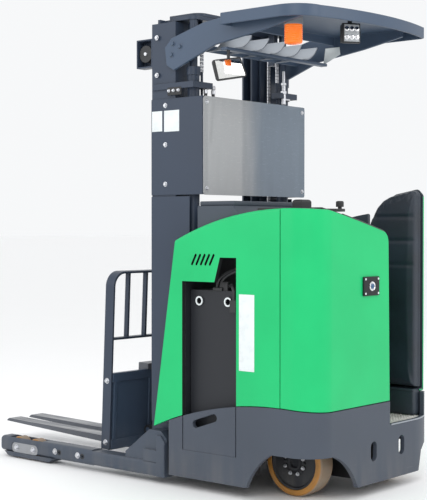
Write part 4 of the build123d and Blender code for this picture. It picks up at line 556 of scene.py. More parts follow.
class Shape:
    """Collects solids in one mesh, each with the number of its finish."""

    def __init__(self) -> None:
        """Starts empty."""
        self.mesh = bmesh.new()

    def _mark(self, faces: Iterable[bmesh.types.BMFace], finish: int) -> None:
        """Gives faces their finish number."""
        for face in faces:
            face.material_index = finish

    def block(self, low: Sequence[float], high: Sequence[float], bevel: float = 0.0,
              finish: int = 0) -> Shape:
        """Adds a block between two corners.

        Args:
            low: Lowest corner.
            high: Highest corner.
            bevel: Rounding of its edges.
            finish: Number of its finish.

        Returns:
            The shape itself.
        """
        low, high = Vector(low), Vector(high)
        place = Matrix.Translation((low + high) / 2) @ Matrix.Diagonal((*(high - low), 1.0))
        made = bmesh.ops.create_cube(self.mesh, size=1.0, matrix=place)
        return self._rounded(made["verts"], bevel, finish)

    def _rounded(self, verts: list[bmesh.types.BMVert], bevel: float, finish: int) -> Shape:
        """Rounds the edges of a new solid and marks its faces."""
        faces = {face for vert in verts for face in vert.link_faces}
        self._mark(faces, finish)
        if bevel > 0:
            edges = {edge for vert in verts for edge in vert.link_edges}
            made = bmesh.ops.bevel(self.mesh, geom=list(edges), offset=bevel, segments=3, profile=0.5,
                                   affect="EDGES", clamp_overlap=True)
            self._mark(made["faces"], finish)
        return self

    def lathe(self, profile: Sequence[Corner], origin: Sequence[float], axis: Vector, sides: int = 40,
              finish: int = 0) -> Shape:
        """Adds a turned solid.

        Args:
            profile: Corners as (radius, distance along the axis); a ring's profile ends where it starts.
            origin: Start of the axis.
            axis: Direction of the axis.
            sides: Facets round it.
            finish: Number of its finish.

        Returns:
            The shape itself.
        """
        turn = Vector((0, 0, 1)).rotation_difference(Vector(axis)).to_matrix()
        ringed = profile[0] == profile[-1]
        rings = []
        for radius, along in profile[:-1] if ringed else profile:
            count = sides if radius > 1e-6 else 1
            ring = []
            for step in range(count):
                angle = 2 * math.pi * step / count
                point = turn @ Vector((radius * math.cos(angle), radius * math.sin(angle), along))
                ring.append(self.mesh.verts.new(Vector(origin) + point))
            rings.append(ring)
        faces = []
        for first, second in zip(rings, [*rings[1:], rings[0]] if ringed else rings[1:]):
            for step in range(sides):
                after = (step + 1) % sides
                corners = [first[step % len(first)], first[after % len(first)],
                           second[after % len(second)], second[step % len(second)]]
                faces.append(self.mesh.faces.new(list(dict.fromkeys(corners))))
        for ring in (rings[0], rings[-1]):
            if len(ring) > 2 and not ringed:
                faces.append(self.mesh.faces.new(ring))
        self._mark(faces, finish)
        return self

    def rod(self, start: Sequence[float], end: Sequence[float], radius: float, edge: float = 0.0,
            sides: int = 28, finish: int = 0) -> Shape:
        """Adds a round rod between two points, with chamfered ends."""
        axis = Vector(end) - Vector(start)
        length = axis.length
        profile = [(radius, 0.0), (radius, length)]
        if edge > 0:
            profile = [(radius - edge, 0.0), (radius, edge), (radius, length - edge), (radius - edge, length)]
        return self.lathe(profile, start, axis.normalized(), sides, finish)

    def tube(self, points: Sequence[Vector], radius: float, sides: int = 12, finish: int = 0) -> Shape:
        """Adds a round bar along a line of points."""
        rings = []
        normal = (points[1] - points[0]).normalized().orthogonal()
        for index, point in enumerate(points):
            before = points[max(index - 1, 0)]
            after = points[min(index + 1, len(points) - 1)]
            tangent = (after - before).normalized()
            normal = (normal - tangent * normal.dot(tangent)).normalized()
            side = tangent.cross(normal)
            ring = []
            for step in range(sides):
                angle = 2 * math.pi * step / sides
                around = math.cos(angle) * normal + math.sin(angle) * side
                ring.append(self.mesh.verts.new(point + radius * around))
            rings.append(ring)
        faces = [self.mesh.faces.new(rings[0]), self.mesh.faces.new(rings[-1])]
        for first, second in zip(rings, rings[1:]):
            for step in range(sides):
                after = (step + 1) % sides
                faces.append(self.mesh.faces.new((first[step], first[after], second[after], second[step])))
        self._mark(faces, finish)
        return self

    def plate(self, outline: Sequence[Corner], origin: Vector, across: Vector, up: Vector, thickness: float,
              bevel: float = 0.0, finish: int = 0) -> Shape:
        """Adds a flat plate from an outline.

        Args:
            outline: Corners along the across and up directions.
            origin: Where the outline's origin lies, on the plate's back.
            across: First direction of the outline.
            up: Second direction of the outline.
            thickness: Thickness along across cross up.
            bevel: Rounding of its edges.
            finish: Number of its finish.

        Returns:
            The shape itself.
        """
        out = across.cross(up).normalized() * thickness
        back = [self.mesh.verts.new(origin + across * x + up * y) for x, y in outline]
        front = [self.mesh.verts.new(vert.co + out) for vert in back]
        self.mesh.faces.new(list(reversed(back)))
        self.mesh.faces.new(front)
        for step in range(len(back)):
            after = (step + 1) % len(back)
            self.mesh.faces.new((back[step], back[after], front[after], front[step]))
        return self._rounded(back + front, bevel, finish)

    def moved(self, place: Matrix) -> Shape:
        """Moves all that has been added so far."""
        bmesh.ops.transform(self.mesh, matrix=place, verts=self.mesh.verts)
        return self

    def copy_of(self, node: str) -> Shape:
        """Adds a merged copy of a CAD node's mesh."""
        self.mesh.from_mesh(frame["nodes"][node].data)
        bmesh.ops.remove_doubles(self.mesh, verts=self.mesh.verts, dist=1e-5)
        return self

    def ended(self, name: str) -> bpy.types.Mesh:
        """Ends the collecting and gives the mesh."""
        data = bpy.data.meshes.new(name)
        self.mesh.to_mesh(data)
        self.mesh.free()
        return data

    def piece(self, name: str, body: str, finishes: Sequence[Finish], slot: str,
              stands_for: Sequence[str] = (), outwards: bool = True) -> None:
        """Ends the mesh as a piece of the truck.

        Args:
            name: The piece's name.
            body: Body that carries it.
            finishes: Its finishes, by number.
            slot: The record's slot of its main finish; not used.
            stands_for: CAD nodes that it replaces.
            outwards: Whether normals are worked out anew.
        """
        if outwards:
            bmesh.ops.recalc_face_normals(self.mesh, faces=self.mesh.faces)
        place_mesh(name, self.ended(name), body, finishes, stands_for)


def linked(name: str, data: bpy.types.ID) -> bpy.types.Object:
    """New object in the scene."""
    made = bpy.data.objects.new(name, data)
    bpy.context.scene.collection.objects.link(made)
    return made


def place_mesh(name: str, data: bpy.types.Mesh, body: str, finishes: Sequence[Finish],
               stands_for: Sequence[str] = (), smooth_deg: float | None = 38.0) -> bpy.types.Object:
    """Makes an object from a finished mesh and ties it to its body.

    Args:
        name: The piece's name.
        data: Its mesh, in the row frame.
        body: Body that carries it.
        finishes: Its finishes, by number.
        stands_for: CAD nodes that it replaces.
        smooth_deg: Edges sharper than this stay sharp; None keeps the mesh's own normals.

    Returns:
        The new object.
    """
    if data.materials:
        data.materials.clear()
    for finish in finishes:
        data.materials.append(finish.material())
    if smooth_deg is not None:
        data.polygons.foreach_set("use_smooth", [True] * len(data.polygons))
        data.set_sharp_from_angle(angle=math.radians(smooth_deg))
    piece = linked(name, data)
    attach(piece, body)
    if stands_for:
        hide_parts(*stands_for)
    LOG.info("%s: %d faces on %s", name, len(data.polygons), body)
    return piece


def smooth_line(points: Sequence[Vector], steps: int = 6) -> list[Vector]:
    """Smooth curve through a few points.

    Args:
        points: Points on the curve.
        steps: Points added for each stretch.

    Returns:
        The points of the curve.
    """
    ends = [points[0], *points, points[-1]]
    line = []
    for first, second, third, fourth in zip(ends, ends[1:], ends[2:], ends[3:]):
        slope = third - first
        bend = 2 * first - 5 * second + 4 * third - fourth
        twist = 3 * second - first - 3 * third + fourth
        for step in range(steps):
            t = step / steps
            line.append(0.5 * (2 * second + slope * t + bend * t * t + twist * t ** 3))
    return [*line, points[-1]]


def applied(carrier: bpy.types.Object) -> bpy.types.Mesh:
    """Mesh of an object with its modifiers applied; the object is then removed."""
    evaluated = carrier.evaluated_get(bpy.context.evaluated_depsgraph_get())
    data = bpy.data.meshes.new_from_object(evaluated)
    carrier.modifiers.clear()
    bpy.data.objects.remove(carrier)
    return data


class GeometryTree(NodeTree):
    """Geometry Nodes tree with named inputs, ending in realized instances of one material."""

    def __init__(self, name: str) -> None:
        """Starts a tree with a geometry input and output."""
        super().__init__(bpy.data.node_groups.new(name, "GeometryNodeTree"))
        self.tree.interface.new_socket("Geometry", in_out="INPUT", socket_type="NodeSocketGeometry")
        self.tree.interface.new_socket("Geometry", in_out="OUTPUT", socket_type="NodeSocketGeometry")
        self.source = self.tree.nodes.new("NodeGroupInput")

    def size(self, name: str, default: float) -> bpy.types.NodeSocket:
        """Adds a named length or number."""
        item = self.tree.interface.new_socket(name, in_out="INPUT", socket_type="NodeSocketFloat")
        item.default_value = default
        return self.source.outputs[name]

    def material(self) -> bpy.types.NodeSocket:
        """Adds the material input."""
        self.tree.interface.new_socket("Material", in_out="INPUT", socket_type="NodeSocketMaterial")
        return self.source.outputs["Material"]

    def times(self, length: bpy.types.NodeSocket, share: float) -> bpy.types.NodeSocket:
        """A share of a length."""
        return self.node("ShaderNodeMath", {0: length, 1: share}, operation="MULTIPLY").outputs[0]

    def vector(self, **parts: bpy.types.NodeSocket) -> bpy.types.NodeSocket:
        """Vector from its X, Y and Z."""
        return self.node("ShaderNodeCombineXYZ", parts).outputs[0]

    def solid(self, kind: str, sizes: dict) -> bpy.types.NodeSocket:
        """A plain solid: Cube, Cylinder, Cone or IcoSphere."""
        return self.node(f"GeometryNodeMesh{kind}", sizes).outputs["Mesh"]

    def moved(self, mesh: bpy.types.NodeSocket, **place: object) -> bpy.types.NodeSocket:
        """A mesh with a Translation or a Rotation."""
        return self.node("GeometryNodeTransform", {"Geometry": mesh, **place}).outputs[0]

    def joined(self, *meshes: bpy.types.NodeSocket) -> bpy.types.NodeSocket:
        """Several meshes as one."""
        return self.node("GeometryNodeJoinGeometry", {"Geometry": list(meshes)}).outputs[0]

    def along(self, pitch: bpy.types.NodeSocket) -> bpy.types.NodeSocket:
        """The carrier's line with a point at every pitch."""
        line = self.node("GeometryNodeMeshToCurve", {"Mesh": self.source.outputs["Geometry"]})
        return self.node("GeometryNodeResampleCurve", {"Curve": line.outputs[0], "Length": pitch},
                         mode="LENGTH").outputs[0]

    def turned(self, axis: str, direction: bpy.types.NodeSocket) -> bpy.types.NodeSocket:
        """Rotation that brings an axis to a direction."""
        return self.node("FunctionNodeAlignRotationToVector", {"Vector": direction}, axis=axis).outputs[0]

    def end(self, points: bpy.types.NodeSocket, instance: bpy.types.NodeSocket,
            **how: object) -> GeometryTree:
        """Sets an instance on every point, realizes all of them with the material and closes the tree.

        Args:
            points: Points or curve that carry the instances.
            instance: What is set on each point.
            how: Rotation or Scale of the instances.

        Returns:
            The tree itself.
        """
        placed = self.node("GeometryNodeInstanceOnPoints", {"Points": points, "Instance": instance, **how})
        whole = self.node("GeometryNodeRealizeInstances", {"Geometry": placed.outputs[0]})
        dressed = self.node("GeometryNodeSetMaterial",
                            {"Geometry": whole.outputs[0], "Material": self.material()})
        self.node("NodeGroupOutput", {0: dressed.outputs[0]})
        return self

    def run(self, carrier: bpy.types.Object, finish: Finish, **sizes: float) -> bpy.types.Mesh:
        """Runs the tree on a carrier object.

        Args:
            carrier: Object whose mesh holds the points or lines.
            finish: Finish of the result.
            sizes: Values of the named inputs.

        Returns:
            The realized mesh.
        """
        modifier = carrier.modifiers.new(self.tree.name, "NODES")
        modifier.node_group = self.tree
        for item in self.tree.interface.items_tree:
            if item.in_out == "INPUT" and item.name in sizes:
                modifier[item.identifier] = float(sizes[item.name])
            elif item.in_out == "INPUT" and item.name == "Material":
                modifier[item.identifier] = finish.material()
        return applied(carrier)


def carrier_of(points: Sequence[Vector], facing: Sequence[Vector] | None = None,
               joined: bool = False) -> bpy.types.Object:
    """Loose mesh of points for a Geometry Nodes tree.

    Args:
        points: The points.
        facing: Direction of each point, kept as an attribute.
        joined: Whether each point is joined to the next.

    Returns:
        A linked object with that mesh.
    """
    data = bpy.data.meshes.new("carrier")
    edges = [(step, step + 1) for step in range(len(points) - 1)] if joined else []
    data.from_pydata([tuple(point) for point in points], edges, [])
    if facing is not None:
        attribute = data.attributes.new("facing", "FLOAT_VECTOR", "POINT")
        attribute.data.foreach_set("vector", [part for direction in facing for part in direction])
    return linked("carrier", data)


def bolt_tree() -> GeometryTree:
    """Tree that sets a hexagon bolt head with its washer on every point."""
    tree = GeometryTree("bolt_heads")
    radius = tree.size("Head", 0.008)
    height = tree.size("Height", 0.006)
    chamfer = tree.size("Chamfer", 0.0068)
    washer = tree.size("Washer", 0.011)
    thick = tree.size("Thickness", 0.0016)
    ring = tree.solid("Cylinder", {"Vertices": 20, "Radius": washer, "Depth": thick})
    hexagon = tree.solid("Cylinder", {"Vertices": 6, "Radius": radius, "Depth": height})
    crown = tree.solid("Cone", {"Vertices": 6, "Radius Top": chamfer, "Radius Bottom": radius,
                                "Depth": thick})
    body = tree.moved(hexagon, Translation=tree.vector(Z=tree.times(height, 0.5)))
    cap = tree.moved(crown, Translation=tree.vector(Z=height))
    bolt = tree.joined(ring, body, cap)
    facing = tree.node("GeometryNodeInputNamedAttribute", {"Name": "facing"}, data_type="FLOAT_VECTOR")
    turned = tree.turned("Z", facing.outputs["Attribute"])
    return tree.end(tree.source.outputs["Geometry"], bolt, Rotation=turned)


def link_tree() -> GeometryTree:
    """Tree that lays leaf chain links along a line: four plates and a pin at every pitch."""
    tree = GeometryTree("leaf_chain")
    pitch = tree.size("Pitch", 0.019)
    width = tree.size("Width", 0.024)
    deep = tree.size("Depth", 0.005)
    size = tree.vector(X=tree.times(pitch, 0.86), Y=tree.times(width, 0.14), Z=deep)
    plates = []
    for share in (-0.42, -0.14, 0.14, 0.42):
        plate = tree.solid("Cube", {"Size": size})
        plates.append(tree.moved(plate, Translation=tree.vector(Y=tree.times(width, share))))
    pin = tree.solid("Cylinder", {"Vertices": 10, "Radius": 0.0021, "Depth": width})
    link = tree.joined(*plates, tree.moved(pin, Rotation=(math.pi / 2, 0.0, 0.0)))
    tangent = tree.node("GeometryNodeInputTangent").outputs[0]
    return tree.end(tree.along(pitch), link, Rotation=tree.turned("X", tangent))


def bead_tree() -> GeometryTree:
    """Tree that lays a weld bead of overlapping drops along a line, with a fixed seed."""
    tree = GeometryTree("weld_bead")
    radius = tree.size("Radius", 0.004)
    pitch = tree.size("Pitch", 0.003)
    drop = tree.solid("IcoSphere", {"Radius": radius, "Subdivisions": 1})
    size = tree.node("FunctionNodeRandomValue", {2: 0.85, 3: 1.15, "Seed": 7}, data_type="FLOAT")
    return tree.end(tree.along(pitch), drop, Scale=size.outputs[1])


def stud_tree() -> GeometryTree:
    """Tree that sets a low round stud on every point."""
    tree = GeometryTree("mat_studs")
    radius = tree.size("Radius", 0.008)
    height = tree.size("Height", 0.003)
    top = tree.times(radius, 0.8)
    stud = tree.solid("Cone", {"Vertices": 12, "Radius Top": top, "Radius Bottom": radius, "Depth": height})
    return tree.end(tree.source.outputs["Geometry"], stud)


# The truck's sides, with the sign of their distance to the left and the way they face
SIDES = ((1, Facing.LEFT), (-1, Facing.RIGHT))


def on_both_sides(half: float, spots: Iterable[Corner]) -> list[tuple[Vector, Facing]]:
    """Places of bolts on both sides.

    Args:
        half: Distance of the bolted faces from the truck's middle.
        spots: Distance ahead and height of each bolt.

    Returns:
        Points with the way each bolt faces.
    """
    return [(at(ahead, side * half, height), facing) for side, facing in SIDES for ahead, height in spots]


@dataclass
class Fasteners:
    """Bolts of one size on one body."""

    name: str
    body: str
    head: float = 0.010
    height: float = 0.007
    finish: Finish = ZINC
    slot: str = "steel"
    tree: ClassVar[GeometryTree | None] = None

    def build(self, places: Sequence[tuple[Vector, Facing]]) -> None:
        """Sets a bolt at each place.

        Args:
            places: Points with the way each bolt faces.
        """
        if Fasteners.tree is None:
            Fasteners.tree = bolt_tree()
        carrier = carrier_of([point for point, _ in places], [facing.value for _, facing in places])
        data = self.tree.run(carrier, self.finish, Head=self.head, Height=self.height,
                             Chamfer=self.head * 0.84, Washer=self.head * 1.35, Thickness=self.height * 0.24)
        place_mesh(self.name, data, self.body, [self.finish], smooth_deg=25.0)


@dataclass(frozen=True)
class InnerShade:
    """Painted shade: a darker second finish on the faces of a panel that don't face outwards, within a
    stretch and below a height.
    """

    finish: Finish
    outwards: Facing
    rear: float = -1.0
    front: float = 2.0
    top: float = 3.0
    rear_edge: bool = True

    def covers(self, face: bpy.types.MeshPolygon) -> bool:
        """Whether a face of the panel takes the painted shade."""
        inside = self.rear < face.center.x - AXLE.x < self.front and face.center.z < self.top
        edge = self.rear_edge or face.normal.x > -0.5 or face.normal.z > 0.2
        return inside and edge and face.normal.dot(self.outwards.value) < 0.5


@dataclass
class Softened:
    """CAD node shown with small rounded edges."""

    node: str
    finish: Finish
    bevel: float = 0.0025
    inner_shade: InnerShade | None = None
    sharp_deg: float = 34.0
    flat_deg: float = 0.4

    def build(self) -> None:
        """Copies the node, rounds its edges and shows the copy in its place."""
        data = self.form().ended(self.node)
        data.polygons.foreach_set("use_smooth", [True] * len(data.polygons))
        carrier = linked("carrier", data)
        rounding = carrier.modifiers.new("edges", "BEVEL")
        rounding.width = self.bevel
        rounding.segments = 2
        rounding.limit_method = "ANGLE"
        rounding.angle_limit = math.radians(self.sharp_deg)
        rounding.use_clamp_overlap = True
        flat = carrier.modifiers.new("flat_faces", "WEIGHTED_NORMAL")
        flat.mode = "FACE_AREA"
        flat.weight = 100
        whole = applied(carrier)
        finishes = [self.finish]
        # painted shade: faces that don't face outwards take the darker second finish
        if self.inner_shade is not None:
            finishes.append(self.inner_shade.finish)
            for face in whole.polygons:
                face.material_index = int(self.inner_shade.covers(face))
        place_mesh(f"{self.node}_shell", whole, body_of(self.node), finishes, [self.node],
                   smooth_deg=None)

    def form(self) -> Shape:
        """Merged copy of the node with its flat faces whole."""
        shape = Shape().copy_of(self.node)
        bmesh.ops.dissolve_limit(shape.mesh, angle_limit=math.radians(self.flat_deg),
                                 verts=shape.mesh.verts, edges=shape.mesh.edges)
        return shape


@dataclass
class FallingCowl(Softened):
    """Cowl whose top falls away on the operator's side."""

    crest: float = -0.030
    fall: float = 0.110
    above: float = 1.300

    def form(self) -> Shape:
        """Copy of the node, cut at the crest and lowered to its right."""
        shape = super().form()
        geometry = [*shape.mesh.verts, *shape.mesh.edges, *shape.mesh.faces]
        bmesh.ops.bisect_plane(shape.mesh, geom=geometry, plane_co=(0, self.crest, 0), plane_no=(0, 1, 0))
        for vert in shape.mesh.verts:
            if vert.co.y < self.crest - 0.01 and vert.co.z > self.above:
                vert.co.z -= self.fall
        return shape


@dataclass
class SlantedPanel(Softened):
    """Left panel whose battery opening leans back beside the vents."""

    edge: float = 0.333
    lean: float = 0.037
    foot: float = 1.075
    head: float = 1.200
    spare: float = 0.004

    def form(self) -> Shape:
        """Copy of the node with the opening's step drawn to the rear at its head."""
        shape = super().form()
        for vert in shape.mesh.verts:
            near = abs(vert.co.x - AXLE.x - self.edge) < self.spare
            if near and self.foot + self.spare < vert.co.z < self.head + self.spare:
                vert.co.x -= self.lean * (vert.co.z - self.foot) / (self.head - self.foot)
        return shape


@dataclass
class RoundedWall(Softened):
    """Operator's wall with its upper rear corner turned round."""

    corner: float = 0.036
    turn: float = 0.013

    def form(self) -> Shape:
        """Copy of the node with the corner's two edges rounded."""
        shape = super().form()
        low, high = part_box(self.node)
        edges = []
        for edge in shape.mesh.edges:
            first, last = (vert.co for vert in edge.verts)
            level = abs(first.x - last.x) < 1e-4 and abs(first.z - last.z) < 1e-4
            if level and first.x < low.x + self.corner and first.z > high.z - self.corner:
                edges.append(edge)
        bmesh.ops.bevel(shape.mesh, geom=edges, offset=self.turn, segments=4, profile=0.5, affect="EDGES")
        return shape


@dataclass
class LeanPad:
    """Upholstered pad on the operator's wall, swollen by a cloth simulation."""

    voxel: float = 0.007
    shrink: float = 0.006
    pressure: float = 4.0
    tension: float = 25.0
    bending: float = 3.0
    frames: int = 20
    most_move: float = 0.007
    groove: float = 0.006
    groove_width: float = 0.011
    channels: tuple[float, ...] = (1.409, 1.280, 1.150)
    corner: float = 0.034
    corner_out: float = 0.010

    def build(self) -> None:
        """Makes the pad."""
        low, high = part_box("lean_pad")
        shape = Shape().copy_of("lean_pad")
        middle = (low + high) / 2
        size = high - low
        for vert in shape.mesh.verts:
            for side in range(3):
                share = 1 - 2 * self.shrink / size[side]
                vert.co[side] = middle[side] + (vert.co[side] - middle[side]) * share
        carrier = linked("lean_pad_form", shape.ended("lean_pad_form"))
        remesh = carrier.modifiers.new("voxels", "REMESH")
        remesh.mode = "VOXEL"
        remesh.voxel_size = self.voxel
        data = applied(carrier)
        data = self.swell(data, low.y)
        self.sew(data, low, high)
        pad = place_mesh("lean_pad_cover", data, body_of("lean_pad"), [VINYL], ["lean_pad"],
                         smooth_deg=80.0)

    def swell(self, data: bpy.types.Mesh, back: float) -> bpy.types.Mesh:
        """Blows the pad up with cloth pressure, with its back held.

        Args:
            data: The remeshed form.
            back: Y of the pad's back.

        Returns:
            The swollen mesh.
        """
        start = [vert.co.copy() for vert in data.vertices]
        carrier = linked("lean_pad_cloth", data)
        rear = back + self.shrink + self.voxel
        held = carrier.vertex_groups.new(name="held")
        held.add([vert.index for vert in data.vertices if vert.co.y < rear], 1.0, "ADD")
        cloth = carrier.modifiers.new("cloth", "CLOTH")
        cloth.settings.quality = 4
        cloth.settings.use_pressure = True
        cloth.settings.uniform_pressure_force = self.pressure
        cloth.settings.effector_weights.gravity = 0.0
        cloth.settings.vertex_group_mass = "held"
        cloth.settings.tension_stiffness = self.tension
        cloth.settings.bending_stiffness = self.bending
        cloth.point_cache.frame_end = self.frames
        for number in range(1, self.frames + 1):
            bpy.context.scene.frame_set(number)
        swollen = applied(carrier)
        bpy.context.scene.frame_set(1)
        for vert, first in zip(swollen.vertices, start):
            move = vert.co - first
            if move.length > self.most_move:
                vert.co = first + move.normalized() * self.most_move
        return swollen

    def sew(self, data: bpy.types.Mesh, low: Vector, high: Vector) -> None:
        """Presses the sewn channels into the pad's face and keeps it in its place.

        Args:
            data: The pad's mesh, changed in place.
            low: Lowest corner of the pad's room.
            high: Highest corner of the pad's room.
        """
        deep = high.y - low.y
        for vert in data.vertices:
            face = max(0.0, (vert.co.y - low.y) / deep - 0.5) * 2
            for height in self.channels:
                near = (vert.co.z - height) / self.groove_width
                vert.co.y -= self.groove * face * math.exp(-near * near)
            back, drop = vert.co.x - low.x, high.z - vert.co.z
            near = max(0.0, 1 - (abs(back - drop) / self.corner) ** 2)
            share = max(0.0, 1 - max(0.0, back + drop - self.corner) / (3 * self.corner))
            out = self.corner_out * near * share * math.sqrt(0.5)
            vert.co += Vector((-out, 0, out))
            vert.co = Vector(min(max(part, a), b) for part, a, b in zip(vert.co, low, high))


@dataclass
class FloorMat:
    """Rubber mat with low studs in the operator's compartment."""

    stud_height: float = 0.003
    pitch: float = 0.026
    radius: float = 0.0075
    margin: float = 0.016

    def build(self) -> None:
        """Makes the mat."""
        low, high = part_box("floor_mat")
        top = high.z - self.stud_height
        shape = Shape().copy_of("floor_mat")
        for vert in shape.mesh.verts:
            vert.co.z = min(vert.co.z, top)
        carrier = carrier_of(self.points(low, high, top))
        studs = stud_tree().run(carrier, MAT, Radius=self.radius, Height=self.stud_height)
        shape.mesh.from_mesh(studs)
        shape.piece("floor_mat_studded", body_of("floor_mat"), [MAT], "mat", ["floor_mat"], outwards=False)

    def points(self, low: Vector, high: Vector, top: float) -> list[Vector]:
        """Places of the studs, in staggered rows that keep clear of the mat's edge."""
        mat = surface_of("floor_mat")
        reach = self.margin
        corners = [Vector((*corner, 0.1)) for corner in ((reach, 0), (-reach, 0), (0, reach), (0, -reach))]
        found = []
        for row in range(int((high.x - low.x) / self.pitch) + 1):
            for column in range(int((high.y - low.y) / self.pitch) + 1):
                x = low.x + (row + 0.5) * self.pitch
                y = low.y + (column + 0.5 + 0.5 * (row % 2)) * self.pitch
                over = Vector((x, y, high.z))
                if all(mat.ray_cast(over + corner, Facing.DOWN.value)[0] for corner in corners):
                    found.append(Vector((x, y, top)))
        return found


@dataclass
class LiftChains:
    """Leaf chains over their sheaves on the middle mast stage."""

    offset: float = 0.327
    sheave_ahead: float = 0.636
    sheave_height: float = 2.300
    radius: float = 0.030
    width: float = 0.025
    hub: float = 0.008
    hub_out: float = 0.0055
    low_front: float = 0.900
    low_rear: float = 2.184
    pitch: float = 0.019
    depth: float = 0.0052

    def build(self) -> None:
        """Makes both chains and their sheaves."""
        shape = Shape()
        tree = link_tree()
        half = self.width / 2
        groove = self.radius - 0.006
        rim = groove + 0.005
        profile = [(self.hub, -half - self.hub_out), (self.hub, -half), (rim, -half), (groove, -half + 0.004),
                   (groove, half - 0.004), (rim, half), (self.hub, half), (self.hub, half + self.hub_out)]
        for side in (1, -1):
            centre = at(self.sheave_ahead, side * self.offset, self.sheave_height)
            shape.lathe(profile, centre, Facing.LEFT.value, 44, 1)
            carrier = carrier_of(self.line(centre), joined=True)
            data = tree.run(carrier, OILED, Pitch=self.pitch, Width=self.width, Depth=self.depth)
            shape.mesh.from_mesh(data)
        shape.piece("lift_chain_links", body_of("lift_chains"), [OILED, ZINC], "chain", ["lift_chains"])

    def line(self, centre: Vector) -> list[Vector]:
        """Line of one chain: up the front, round the sheave and down the back."""
        turns = (math.pi * step / 16 for step in range(17))
        arc = [centre + self.radius * Vector((math.cos(turn), 0, math.sin(turn))) for turn in turns]
        first = Vector((centre.x + self.radius, centre.y, self.low_front))
        last = Vector((centre.x - self.radius, centre.y, self.low_rear))
        return [first, *arc, last]


@dataclass
class Beacon:
    """Amber warning beacon with a ringed lens under the roof."""

    rings: int = 9
    ring_depth: float = 0.0022
    collar: float = 0.016
    # shares of the base's radius and height
    foot: tuple[Corner, ...] = ((0.62, 0.0), (0.62, 0.25), (0.9, 0.42), (1.0, 0.55), (1.0, 0.92))

    def build(self) -> None:
        """Makes the base with its collar, and the lens."""
        low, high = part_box("beacon_base")
        middle = (low + high) / 2
        radius = (high.x - low.x) / 2
        tall = high.z - low.z
        steps = [(radius * out, tall * along) for out, along in self.foot]
        base = Shape()
        base.lathe([(0.0, 0.0), *steps, (radius - 0.002, tall), (0.0, tall)], (middle.x, middle.y, high.z),
                   Facing.DOWN.value)
        wide = radius + 0.0008
        base.lathe([(0.0, 0.0), (wide, 0.0), (wide, self.collar), (0.0, self.collar)],
                   (middle.x, middle.y, low.z), Facing.DOWN.value)
        base.piece("beacon_foot", body_of("beacon_base"), [LAMP_GREY], "lamp_grey", ["beacon_base"])
        low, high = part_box("beacon_lens")
        lens = Shape()
        lens.lathe(self.profile((high.x - low.x) / 2, high.z - low.z), (middle.x, middle.y, high.z),
                   Facing.DOWN.value, 48)
        lens.piece("beacon_dome", body_of("beacon_lens"), [AMBER], "amber", ["beacon_lens"])

    def profile(self, radius: float, tall: float) -> list[Corner]:
        """Ringed wall and rounded end of the lens."""
        inner = radius - self.ring_depth
        pitch = tall * 0.74 / self.rings
        corners = [(0.0, 0.0), (radius, 0.0)]
        for ring in range(self.rings):
            along = tall * (0.16 + 0.74 * ring / self.rings)
            corners += [(inner, along), (radius, along + pitch * 0.5), (inner, along + pitch * 0.96)]
        for step in range(1, 8):
            turn = math.pi / 2 * step / 8
            corners.append((inner * math.cos(turn), tall * (0.92 + 0.08 * math.sin(turn))))
        return [*corners, (0.0, tall)]


@dataclass
class WorkLamp:
    """Square lamp with cooling fins, a clear front and six emitters, turned to the left rear."""

    turn_deg: float = -35.0
    width: float = 0.096
    height: float = 0.102
    depth: float = 0.058
    front: float = 0.003
    back: float = 0.026
    fins: int = 7
    fin_half: float = 0.002
    fin_inset: float = 0.006
    fin_sunk: float = 0.002
    hanger: float = 0.0115
    rim: float = 0.008
    emitter: tuple[Corner, ...] = ((0.0, 0.0), (0.003, 0.0), (0.0110, 0.0006), (0.0125, 0.0))

    def build(self) -> None:
        """Makes the lamp and its hanger."""
        low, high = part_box("work_lamp")
        wide, tall, deep = self.width / 2, self.height / 2, self.depth / 2
        centre = Vector(((low.x + high.x) / 2, (low.y + high.y) / 2, low.z + tall))
        shape = Shape()
        shape.block((self.front - deep, -wide, -tall), (self.back - deep, wide, tall), 0.006)
        rim = self.rim
        top = tall - self.fin_inset
        root = self.back - self.fin_sunk - deep
        for fin in range(self.fins):
            y = (wide - rim) * (2 * fin / (self.fins - 1) - 1)
            shape.block((root, y - self.fin_half, -top), (deep, y + self.fin_half, top), 0.0008)
        shape.block((-deep, rim - wide, rim - tall), (-deep + 0.005, wide - rim, tall - rim), 0.0012, 1)
        for row in (-0.42, 0.42):
            for column in (-0.56, 0.0, 0.56):
                spot = (-deep - 0.0002, wide * column, tall * row)
                shape.lathe(self.emitter, spot, Facing.REAR.value, 20, 2)
        shape.moved(Matrix.Translation(centre) @ Matrix.Rotation(math.radians(self.turn_deg), 4, "Z"))
        shape.rod((centre.x, centre.y, centre.z + top), (centre.x, centre.y, high.z), self.hanger)
        shape.piece("work_lamp_case", body_of("work_lamp"), [PLASTIC, LAMP_GLASS, CHROME], "black_plastic",
                    ["work_lamp"])


@dataclass
class Mirror:
    """Mirror glass laid on the dark shell of the CAD mirror."""

    place: Place = (0.346, 0.418, 2.160)
    across: Place = (0.349, 0.937, 0.0)
    shell: float = 0.020
    thickness: float = 0.0016
    outline: tuple[Corner, ...] = ((-0.088, 0.027), (0.066, 0.055), (0.090, -0.036), (-0.054, -0.057))

    def build(self) -> None:
        """Makes the glass."""
        across = Vector(self.across).normalized()
        down = Facing.DOWN.value
        origin = at(*self.place) + across.cross(down) * (self.shell - self.thickness / 4)
        shape = Shape().plate(self.outline, origin, across, down, self.thickness, 0.0006)
        shape.piece("mirror_glass", body_of("mirror_panel"), [MIRROR], "mirror")


